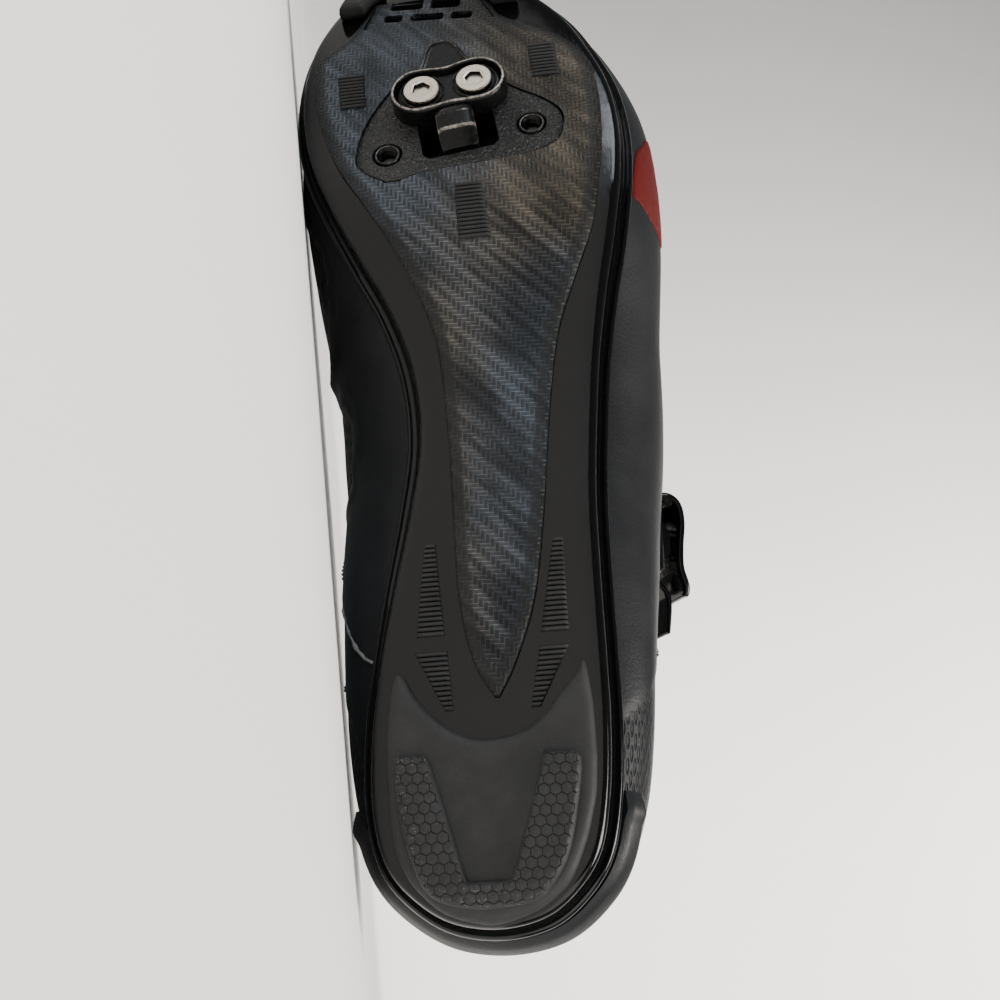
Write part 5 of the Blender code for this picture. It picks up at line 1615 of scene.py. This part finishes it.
    def add_threads(self, side, sign):
        """A ring with a bright lip, and the turns of its thread going down."""
        r, bore = THREAD_RING / 2, THREAD_BORE / 2
        profile = [(r, 0.0016), (r, 0.0001), (r - 0.0002, -0.00025), (r - 0.0005, -0.0003),
                   (bore + 0.0005, -0.0003), (bore + 0.0002, -0.0001), (bore, 0.0003)]
        for turn in range(7):
            z = 0.0004 + 0.0007 * turn
            profile += [(bore - 0.00035, z + 0.0002), (bore - 0.00035, z + 0.0003), (bore, z + 0.0007)]
        profile += [(bore + 0.0003, 0.0056), (0.0, 0.0056)]
        place = cleat_frame() @ Matrix.Translation((sign * THREAD_SPACING / 2, -THREAD_BACK, 0))
        ring = self.lathe(f"thread_ring_{side}", profile, "steel", 56, place, closed=False)
        z = [(place.inverted() @ vert.co).z for vert in ring.data.vertices]
        keep_on_mesh(ring.data, "worn", [0.75 if value < -0.00028 else 0.0 for value in z])
        sharpen(ring, 45)
        lay(ring, [f"threaded_ring_{side}"])


class SHOE_OT_heel_pad(Operator):
    """Mould the rubber heel pad: two horns, a raised tread and the stepped recess"""
    bl_idname = "shoe.heel_pad"
    bl_label = "Heel pad"

    def plan(self, table, count):
        """Rows across the heel; the lug's front runs straight from corner to corner."""
        rows = span_rows(table, HEEL_PAD_LENGTH, HEEL_PAD_WIDTH, count)
        if table is HEEL_LUG:
            fronts = HEEL_PAD_LENGTH * np.interp([row[0] / HEEL_PAD_WIDTH for row in rows],
                                                 [row.at for row in table], [row.high for row in table])
            rows = [(at, low, float(front)) for (at, low, _), front in zip(rows, fronts)]
        return [(HEEL_PAD_SIDE - HEEL_PAD_WIDTH / 2 + at, HEEL_PAD_BACK + low, HEEL_PAD_BACK + high)
                for at, low, high in rows]

    def execute(self, context):
        base = add_face_plate("base", self.plan(HEEL_PAD, 90), 60, rounded(0.0010, 0.0026, -0.0010),
                              "tread", crosswise=True)
        for name in ("tread", "worn"):
            keep_on_mesh(base.data, name, [0.0] * len(base.data.vertices))
        rows = self.plan(HEEL_LUG, 110)
        lug = add_face_plate("lug", rows, 60, rounded(-0.0012, 0.0013, -0.0031), "tread", 0.0004, True)
        heights = [face_height(vert.co.y) - vert.co.z for vert in lug.data.vertices]
        keep_on_mesh(lug.data, "tread", [smooth(0.0027, 0.00305, h) for h in heights])
        outline = ([(x, low) for x, low, high in rows] + [(x, high) for x, low, high in rows[::-1]])
        worn = []
        for (x, y), distance, height in zip(plan_of(lug), edge_distance(plan_of(lug), outline), heights):
            outer = 0.8 * smooth(0.016, 0.006, y) + smooth(0.008, 0.021, x - HEEL_PAD_SIDE)
            outer += 0.5 * smooth(0.014, 0.021, HEEL_PAD_SIDE - x)
            near = 1 - smooth(0.0008, 0.0050, distance)
            worn.append(near * min(outer, 1.0) * smooth(0.0012, 0.0022, height))
        keep_on_mesh(lug.data, "worn", worn)
        sharpen(lug, 60)
        lay(join([base, lug], "heel_pad_rubber"), ["heel_pad"])
        return {"FINISHED"}


class SHOE_OT_upper(Operator):
    """Stretch the coated upper over the last, with its lining, folds, pits and edges"""
    bl_idname = "shoe.upper"
    bl_label = "Upper"

    AROUND = 400
    LEVELS = 84
    INSIDE = 24

    def execute(self, context):
        self.add_skin()
        self.add_raw_edge()
        self.add_red_panel()
        self.add_binding()
        self.add_heel_strip()
        self.add_seam()
        return {"FINISHED"}

    def add_skin(self):
        """The coated cloth and its lining, one closed skin with the masks of its finish."""
        stations = [RING * index / self.AROUND for index in range(self.AROUND)]
        levels = [step / self.LEVELS for step in range(self.LEVELS + 1)]
        way = np.array([way_of(station, t) for t in levels for station in stations])
        height, panel, heel = relief(way)
        tuck = [[rim_point(s, LIP_WIDTH + GAP, 0.0088) for s in stations],
                [rim_point(s, LIP_WIDTH + 0.6 * GAP, 0.0100) for s in stations]]
        rises = iter(height)
        outside = []
        for t in levels:
            edge = smooth(0.0, 0.06, t) * (1 - smooth(0.97, 1.0, t))
            outside.append([over_upper(s, t, MM * float(next(rises)) * edge) for s in stations])
        inside = []
        for step in range(self.INSIDE + 1):
            t = 1 - step / self.INSIDE
            inside.append([over_upper(s, t, -wall_at(s, t)) for s in stations])
        inside.append([point + Vector((0, 0, -0.0015)) for point in inside[-1]])
        solid = Solid()
        solid.add_grid(tuck + outside, closed=True)
        solid.add_grid([outside[-1]] + inside, closed=True, finish=1)
        upper = solid.make("upper_skin", [finish("upper"), finish("lining")], weld=1e-7)
        first, count = len(tuck) * self.AROUND, len(upper.data.vertices)
        for name, source in (("panel", panel), ("heel", heel)):
            values = np.zeros(count)
            values[first:first + len(source)] = source
            keep_on_mesh(upper.data, name, values)
        places = np.zeros((count, 3), np.float32)
        places[first:first + len(way), :2] = way
        layer = upper.data.attributes.new("way", "FLOAT_VECTOR", "POINT")
        layer.data.foreach_set("vector", places.ravel())
        lay(upper, ["upper"])

    def path(self, line, count, lift):
        """Points over the upper's face along a line of places, in its troughs too."""
        places = []
        for step in range(count + 1):
            at = (len(line) - 1) * step / count
            t = min(max(curve_through([place.t for place in line], at, False), 0.0), 1.0)
            places.append((curve_through([place.station for place in line], at, False), t))
        height, _, _ = relief(np.array([way_of(station, t) for station, t in places]))
        points = []
        for (station, t), rise in zip(places, height):
            out = upper_outward(station, t)
            points.append((upper_point(station, t) + (lift + MM * float(rise)) * out, out))
        return points

    def add_raw_edge(self):
        """The pale cut edge of the front overlay, a ragged cord along its end."""
        solid = Solid()
        solid.add_tube(self.path(RAW_EDGE, 150, 0.0001),
                       lambda s: 0.00062 * (0.85 + 0.3 * math.sin(53 * s) * math.sin(21 * s)))
        lay(solid.make("overlay_edge", [finish("raw")]))

    # Rings of the red accent: share of its outline and lift, from its edge to its middle
    RED_RINGS = ((1.0, -0.0002), (1.0, 0.00015), (0.985, 0.00032), (0.9, 0.0004), (0.6, 0.0004),
                 (0.3, 0.0004))

    def add_red_panel(self):
        """The red accent low on the outer side of the ball."""
        outline = [way_of(*place) for place in RED_PANEL]
        centre = np.mean(outline, axis=0)
        dense = []
        for index in range(120):
            at = len(RED_PANEL) * index / 120
            dense.append([curve_through([p[k] for p in outline], at, True) for k in (0, 1)])
        rows = []
        for share, lift in self.RED_RINGS:
            row = []
            for u, v in dense:
                station = float(centre[0] + share * (u - centre[0])) / STATION_LENGTH
                t = float(centre[1] + share * (v - centre[1])) / T_LENGTH
                row.append(over_upper(station, t, lift))
            rows.append(row)
        solid = Solid()
        solid.add_grid(rows, closed=True)
        solid.add_fan(rows[-1])
        lay(solid.make("accent_panel", [finish("red")]))

    def add_binding(self):
        """The rolled edge of the collar and the throat."""
        path = []
        for step in range(301):
            station = RING * step / 300
            wall = wall_at(station, 1.0)
            out = upper_outward(station, 1.0)
            path.append((upper_point(station, 1.0) - 0.5 * wall * out, out, 0.5 * wall + 0.0003))
        rings = []
        for index, (point, out, size) in enumerate(path[:-1]):
            ahead = (path[(index + 1) % 300][0] - path[index - 1][0]).normalized()
            up = out.cross(ahead).normalized()
            if up.z < 0:
                up.negate()
            rings.append([point + size * math.cos(a) * out + 0.0013 * math.sin(a) * up
                          for a in turns(12)])
        solid = Solid()
        solid.add_grid(rings + [rings[0]], closed=True)
        lay(solid.make("collar_binding", [finish("binding")], weld=1e-7))

    def add_heel_strip(self):
        """The strip round the heel with a rolled upper edge and thick sewn ends."""
        reach, low, top0, crown = 4.1, 0.055, 0.19, 0.10
        rows = []
        for step in range(121):
            share = 2 * step / 120 - 1
            station = reach * share
            top = top0 + crown * (1 - share ** 2)
            end = 1 - smooth(0.965, 1.0, abs(share))
            fold = 0.0009 * math.exp(-((abs(share) - 0.93) / 0.035) ** 2)
            row = []
            for level in range(13):
                part = level / 12
                t = low + (top - low) * part
                rim = min(1.0, 3.2 * min(part, 1 - part) + 0.25)
                thick = 0.0006 + 0.0016 * math.sqrt(rim) * (0.55 + 0.45 * end) + fold
                row.append((over_upper(station, t, 0.0002), over_upper(station, t, thick)))
            rows.append(row)
        strip = slab("heel_strip", rows, "leather")
        sharpen(strip, 50)
        lay(strip, ["heel_cap"])
        lines = [[Place(sign * reach * offset, low + 0.012 + 0.02 * k) for k in range(8)]
                 for sign in (1, -1) for offset in (0.90, 0.865)]
        self.add_stitches("heel_strip_stitches", lines, 0.0021, 0.0026, 0.00042)

    def add_stitches(self, name, lines, lift, pitch, radius):
        """A row of thread loops along each line of places."""
        solid = Solid()
        for line in lines:
            sew(solid, self.path(line, 240, lift), pitch, radius, 0.55)
        lay(solid.make(name, [finish("thread")]))

    def add_seam(self):
        """Stitches along the overlay, the heel mesh and the throat."""
        behind = [Place(p.station + 0.45, p.t) for p in RAW_EDGE if 0.05 < p.t <= 1.0]
        medial = [Place(p.station + 0.30, p.t) for p in HEEL_MESH_MEDIAL if 0.05 < p.t < 0.9]
        lateral = [Place(p.station - 0.30, p.t) for p in HEEL_MESH_LATERAL if 0.05 < p.t < 0.9]
        throat = [[Place(start + 10.7 * k / 23, 0.955) for k in range(24)] for start in (9.2, 20.1)]
        self.add_stitches("upper_stitches", [behind[3:], medial[3:], lateral[3:], *throat],
                          0.0001, 0.0026, 0.00032)


class SHOE_OT_soft_inside(Operator):
    """Make the padded tongue and the insole"""
    bl_idname = "shoe.soft_inside"
    bl_label = "Tongue and insole"

    def execute(self, context):
        self.add_tongue()
        self.add_insole()
        return {"FINISHED"}

    def add_tongue(self):
        """Padded in two long cushions with a seam between, bound round its top."""
        tongue_top, drop, thick, reach_more = 0.022, 0.0016, 0.0045, 0.007
        edges = []
        for index in range(10):
            station = THROAT_TOP + 0.02 + index
            medial, lateral = mouth_point(station), mouth_point(RING - station)
            half = (medial.x - lateral.x) / 2
            tucked = (reach_more + WALL) * smooth(THROAT_TOP, THROAT_TOP + 2, station) - WALL - GAP
            edges.append(((medial + lateral) / 2, half, half + tucked))
        top_centre, top_half, top_reach = edges[0]
        back = (top_centre - edges[2][0]).normalized()
        lean = (back + Vector((0.0, -0.35, 0.75))).normalized()
        for rise in (0.5, 1.0):
            edges.insert(0, (top_centre + rise * tongue_top * lean, top_half,
                             top_reach - 0.12 * rise * top_half))
        count, columns = 110, 40
        rows = []
        for step in range(count + 1):
            at = (len(edges) - 1) * step / count
            centre = Vector([curve_through([e[0][k] for e in edges], at, False) for k in range(3)])
            half = curve_through([e[1] for e in edges], at, False)
            reach = curve_through([e[2] for e in edges], at, False)
            crown = 0.30 * half
            end = math.sqrt(max(0.0, 1 - (1 - min(1.0, step / 7)) ** 2))
            channel = (1 - 0.30 * math.exp(-((at - 3.1) / 0.10) ** 2)
                       - 0.25 * math.exp(-((at - 5.6) / 0.10) ** 2))
            row = []
            for column in range(columns + 1):
                side = 2 * column / columns - 1
                x = reach * side * (0.93 + 0.07 * end)
                z = centre.z - WALL - drop - crown * ((x / half) ** 2 - 1)
                cushion = (1 - math.exp(-(x / 0.0016) ** 2) * 0.45) * (1 - abs(side) ** 6)
                pad = 0.35 + 0.65 * cushion * end
                row.append((Vector((centre.x + x, centre.y, z - thick + 0.35 * thick * (1 - pad))),
                            Vector((centre.x + x, centre.y, z - 0.5 * thick * (1 - pad * channel)))))
            rows.append(row)
        tongue = slab("padded_tongue", rows, "lining")
        lay(tongue, ["tongue"])

    def add_insole(self):
        """The foot bed, raised round its edge and hollowed under the heel."""
        count = 160

        def ring(share, extra, rise):
            points = []
            for index in range(count):
                station = RING * index / count
                inset = BALL_WIDTH * swell(SWELL_FLARE, station) + extra
                point = rim_point(station, inset, rise)
                middle = Vector((0.0015, point.y, face_height(point.y) + PROUD + rise))
                points.append(point.lerp(middle, share))
            return points

        edge = PLATE + 4 * GAP
        thick = 0.0035
        solid = Solid()
        rings = [ring(0.0, edge, PLATE + 2 * GAP), ring(0.0, edge, PLATE + thick * 0.7),
                 ring(0.0, edge + 0.0003, PLATE + thick * 0.92), ring(0.0, edge + 0.0008, PLATE + thick)]
        rings += [ring(share, edge + 0.0008, PLATE + thick - 0.0007 * smooth(0, 0.6, share))
                  for share in (0.1, 0.25, 0.4, 0.55, 0.7, 0.85, 0.97)]
        solid.add_grid(rings, closed=True)
        half = count // 2
        for loop, flip in ((rings[0], True), (rings[-1], False)):
            rows = [[loop[k], loop[-k]] for k in range(1, half)]
            solid.add_grid(rows, flip=flip)
        insole = solid.make("foot_bed", [finish("insole")], weld=1e-7)
        sharpen(insole, 60)
        lay(insole, ["insole"])


class SHOE_OT_straps(Operator):
    """Lay the two straps and the toothed ratchet strap over the throat"""
    bl_idname = "shoe.straps"
    bl_label = "Straps"

    Strap = namedtuple("Strap", "node station width medial lateral skew")
    STRAPS = [
        Strap("strap_front", 15.20, 1.90, 0.62, 0.55, 0.00),
        Strap("strap_middle", 12.20, 1.50, 0.66, 0.58, 0.00),
        Strap("ratchet_strap", 9.95, 0.75, 0.72, 0.57, 1.30),
    ]
    LIP = 0.985
    LIFT = 0.0006

    def rows(self, strap, wide_steps, side_steps, bridge_steps):
        """Grid of (point, outward) from the inner end, over the throat, to the outer end."""
        rows = []
        for wide in range(wide_steps + 1):
            here = strap.station + strap.width * (wide / wide_steps - 0.5)
            beyond = RING - here
            row = []
            for step in range(side_steps + 1):
                t = strap.medial + (self.LIP - strap.medial) * step / side_steps
                row.append((upper_point(here, t), upper_outward(here, t)))
            a, b = upper_point(here, self.LIP), upper_point(beyond, self.LIP)
            left, right = upper_outward(here, self.LIP), upper_outward(beyond, self.LIP)
            for step in range(1, bridge_steps):
                share = step / bridge_steps
                point = a.lerp(b, share)
                point.z += 0.11 * (a.x - b.x) * 4 * share * (1 - share)
                row.append((point, left.lerp(right, share).normalized()))
            for step in range(side_steps + 1):
                share = step / side_steps
                t = self.LIP + (strap.lateral - self.LIP) * share
                slanted = beyond + strap.skew * share
                row.append((upper_point(slanted, t), upper_outward(slanted, t)))
            rows.append(row)
        return rows

    def execute(self, context):
        for strap in self.STRAPS[:2]:
            self.add_strap(strap)
        self.add_ratchet(self.STRAPS[2])
        return {"FINISHED"}

    def add_strap(self, strap):
        """A coated strap with turned edges that thin towards its ends, and two rows of stitches."""
        grid = self.rows(strap, 22, 26, 18)
        rows = []
        last = len(grid[0]) - 1
        for wide, line in enumerate(grid):
            edge = min(wide / 22, 1 - wide / 22)
            groove = 0.00022 * math.exp(-((edge - 0.16) / 0.02) ** 2)
            row = []
            for index, (point, out) in enumerate(line):
                end = min(index, last - index) / last
                turned = math.sqrt(max(0.0, min(1.0, edge / 0.07)) * 0.75 + 0.25)
                turned *= 0.45 + 0.55 * smooth(0, 0.03, end)
                row.append((point + out * self.LIFT,
                            point + out * (self.LIFT + 0.0018 * turned - groove)))
            rows.append(row)
        body = slab(strap.node + "_coated", rows, "leather")
        sharpen(body, 55)
        lay(body, [strap.node])
        thread = Solid()
        for wide in (3, 19):
            line = [(point + out * 0.0023, out) for point, out in grid[wide]]
            dense = [(a.lerp(b, k / 8), out_a.lerp(out_b, k / 8).normalized())
                     for (a, out_a), (b, out_b) in zip(line, line[1:]) for k in range(8)]
            sew(thread, dense, 0.0027, 0.00030, 0.6)
        lay(thread.make(strap.node + "_stitches", [finish("thread")]))

    def add_ratchet(self, strap):
        """Moulded strap whose teeth lean towards its inner end."""
        grid = self.rows(strap, 14, 60, 60)
        travelled = [0.0]
        for (a, _), (b, _) in zip(grid[7], grid[7][1:]):
            travelled.append(travelled[-1] + (b - a).length)
        last = len(travelled) - 1
        rows = []
        for wide, line in enumerate(grid):
            edge = min(wide, 14 - wide)
            row = []
            for index, (point, out) in enumerate(line):
                share = index / last
                climb = self.LIFT + (BUCKLE_BASE + GAP) * smooth(0.55, 0.80, share)
                tooth = ((travelled[index] / 0.0030) % 1.0) * 0.0008
                tooth *= smooth(0.30, 0.34, share) if edge >= 3 else 0.0
                top = climb + (0.0009 if edge == 0 else 0.0014) + tooth
                row.append((point + out * climb, point + out * top))
            rows.append(row)
        body = slab("ratchet_toothed", rows, "gloss")
        sharpen(body, 30)
        lay(body, ["ratchet_strap"])


class SHOE_OT_buckle(Operator):
    """Build the buckle: base plate, arched lever and flat release tab"""
    bl_idname = "shoe.buckle"
    bl_label = "Buckle"

    Bend = namedtuple("Bend", "along rise width thick")
    RISE = 0.0070
    LEVER = named(Bend, [
        (0.90, 0.00, 0.80, 0.8), (0.92, 0.35, 0.90, 1.0), (0.80, 0.68, 0.97, 1.0),
        (0.45, 0.86, 1.0, 1.0), (-0.10, 0.90, 1.0, 1.0), (-0.55, 1.02, 0.98, 1.0),
        (-0.92, 1.40, 0.90, 0.95), (-1.10, 1.46, 0.78, 0.8),
    ])
    TAB = named(Bend, [
        (-0.86, 0.00, 0.9, 1.0), (-0.98, 0.30, 1.0, 1.0), (-1.25, 0.75, 1.0, 1.0),
        (-1.95, 0.95, 0.86, 0.7),
    ])

    def execute(self, context):
        self.add_base()
        self.add_bent("lever_arched", "buckle_lever", self.LEVER, 0.019, 0.0022, 0.00055)
        self.add_bent("tab_flat", "buckle_tab", self.TAB, 0.0133, 0.0016, 0.00035)
        self.add_pin()
        return {"FINISHED"}

    def seat(self, node):
        """Lowest height of a CAD piece in the buckle's frame."""
        turn = (LAY @ buckle_frame()).inverted()
        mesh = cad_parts[node].data
        return min((turn @ vert.co).z for vert in mesh.vertices)

    def add_base(self):
        """The plate under the lever, rounded to its edge and with a shallow well."""
        rows = []
        for wide in range(41):
            station = BUCKLE_STATION - 1.6 + 2.0 * wide / 40
            row = []
            for level in range(31):
                t = 0.52 + 0.26 * level / 30
                edge = min(min(wide / 40, 1 - wide / 40) * 14, min(level / 30, 1 - level / 30) * 20)
                near = min(edge / 1.6, 1.0)
                shoulder = math.sqrt(max(1 - (1 - near) ** 2, 0.0))
                well = 0.0005 * smooth(2.2, 3.0, edge)
                row.append((over_upper(station, t, 0.0006),
                            over_upper(station, t, 0.0011 + 0.0013 * shoulder - well)))
            rows.append(row)
        lay(slab("buckle_plate", rows, "gloss"), ["buckle_base"])

    def add_bent(self, name, node, bends, width, thick, corner):
        """A plate through the bends, with a raised rib along both sides."""
        seat = self.seat(node)
        half = BUCKLE_WIDTH / 2
        count, columns = 60, 20
        points = []
        for step in range(count + 1):
            at = (len(bends) - 1) * step / count
            points.append([curve_through([getattr(b, key) for b in bends], at, False)
                           for key in ("along", "rise", "width", "thick")])
        rows = []
        for index, (along, rise, wide, heavy) in enumerate(points):
            before, after = points[max(index - 1, 0)], points[min(index + 1, count)]
            run = Vector((half * (before[0] - after[0]), self.RISE * (before[1] - after[1])))
            run.normalize()
            x, z = half * along, seat + self.RISE * rise
            row = []
            for column in range(columns + 1):
                side = 2 * column / columns - 1
                y = side * width / 2 * wide
                near = (1 - abs(side)) * width / 2 * wide
                ends = min(index, count - index) / count * 0.03
                near = min(near, ends)
                drop = corner * (1 - math.sqrt(max(1 - (1 - min(near / corner, 1.0)) ** 2, 0.0)))
                rib = 0.0004 * math.exp(-((abs(side) - 0.78) / 0.09) ** 2) - 0.0002
                low = 0.4 * drop
                high = thick * heavy - drop + rib
                row.append((Vector((x - low * run.y, y, z + low * run.x)),
                            Vector((x - high * run.y, y, z + high * run.x))))
            rows.append(row)
        plate = slab(name, rows, "gloss")
        plate.data.transform(buckle_frame())
        lay(plate, [node])

    def add_pin(self):
        """The axle that the lever turns on, with its two bosses."""
        seat = self.seat("buckle_lever")
        solid = Solid()
        x, z = BUCKLE_WIDTH / 2 * 0.80, seat + 0.0014
        line = [(Vector((x, -0.0102 + 0.0204 * k / 12, z)), Vector((0, 0, 1))) for k in range(13)]
        solid.add_tube(line, lambda s: 0.0013 if 0.06 < s < 0.94 else 0.0016, 16)
        pin = solid.make("lever_pin", [finish("steel")])
        keep_on_mesh(pin.data, "worn", [0.5] * len(pin.data.vertices))
        pin.data.transform(buckle_frame())
        lay(pin)


OPERATORS = (SHOE_OT_stage, SHOE_OT_sole_shell, SHOE_OT_sole_plates, SHOE_OT_cleat, SHOE_OT_heel_pad,
             SHOE_OT_upper, SHOE_OT_soft_inside, SHOE_OT_straps, SHOE_OT_buckle)


class SHOE_PT_pieces(Panel):
    """Lists the shoe's pieces and finishes in the sidebar"""
    bl_idname = "SHOE_PT_pieces"
    bl_label = "Cycling shoe"
    bl_space_type = "VIEW_3D"
    bl_region_type = "UI"
    bl_category = "Shoe"

    def draw(self, context):
        column = self.layout.column()
        for group in (context.scene.shoe_stage, context.scene.shoe_shades):
            for name in group.bl_rna.properties.keys():
                if name not in ("rna_type", "name"):
                    column.prop(group, name)
        for operator in OPERATORS:
            column.operator(operator.bl_idname)


CLASSES = (ShoeShades, ShoeStage, *OPERATORS, SHOE_PT_pieces)


def register():
    for item in CLASSES:
        bpy.utils.register_class(item)
    bpy.types.Scene.shoe_shades = PointerProperty(type=ShoeShades)
    bpy.types.Scene.shoe_stage = PointerProperty(type=ShoeStage)


def unregister():
    del bpy.types.Scene.shoe_stage
    del bpy.types.Scene.shoe_shades
    for item in reversed(CLASSES):
        bpy.utils.unregister_class(item)


def main():
    register()
    bpy.ops.shoe.stage()
    bpy.ops.shoe.sole_shell()
    bpy.ops.shoe.sole_plates()
    bpy.ops.shoe.cleat()
    bpy.ops.shoe.heel_pad()
    bpy.ops.shoe.upper()
    bpy.ops.shoe.soft_inside()
    bpy.ops.shoe.straps()
    bpy.ops.shoe.buckle()
    sizes = {name: [list(corner) for corner in bounds]
             for name, bounds in (("cad", CAD_BOUNDS), ("visual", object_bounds()))}


if __name__ == "__main__":
    main()
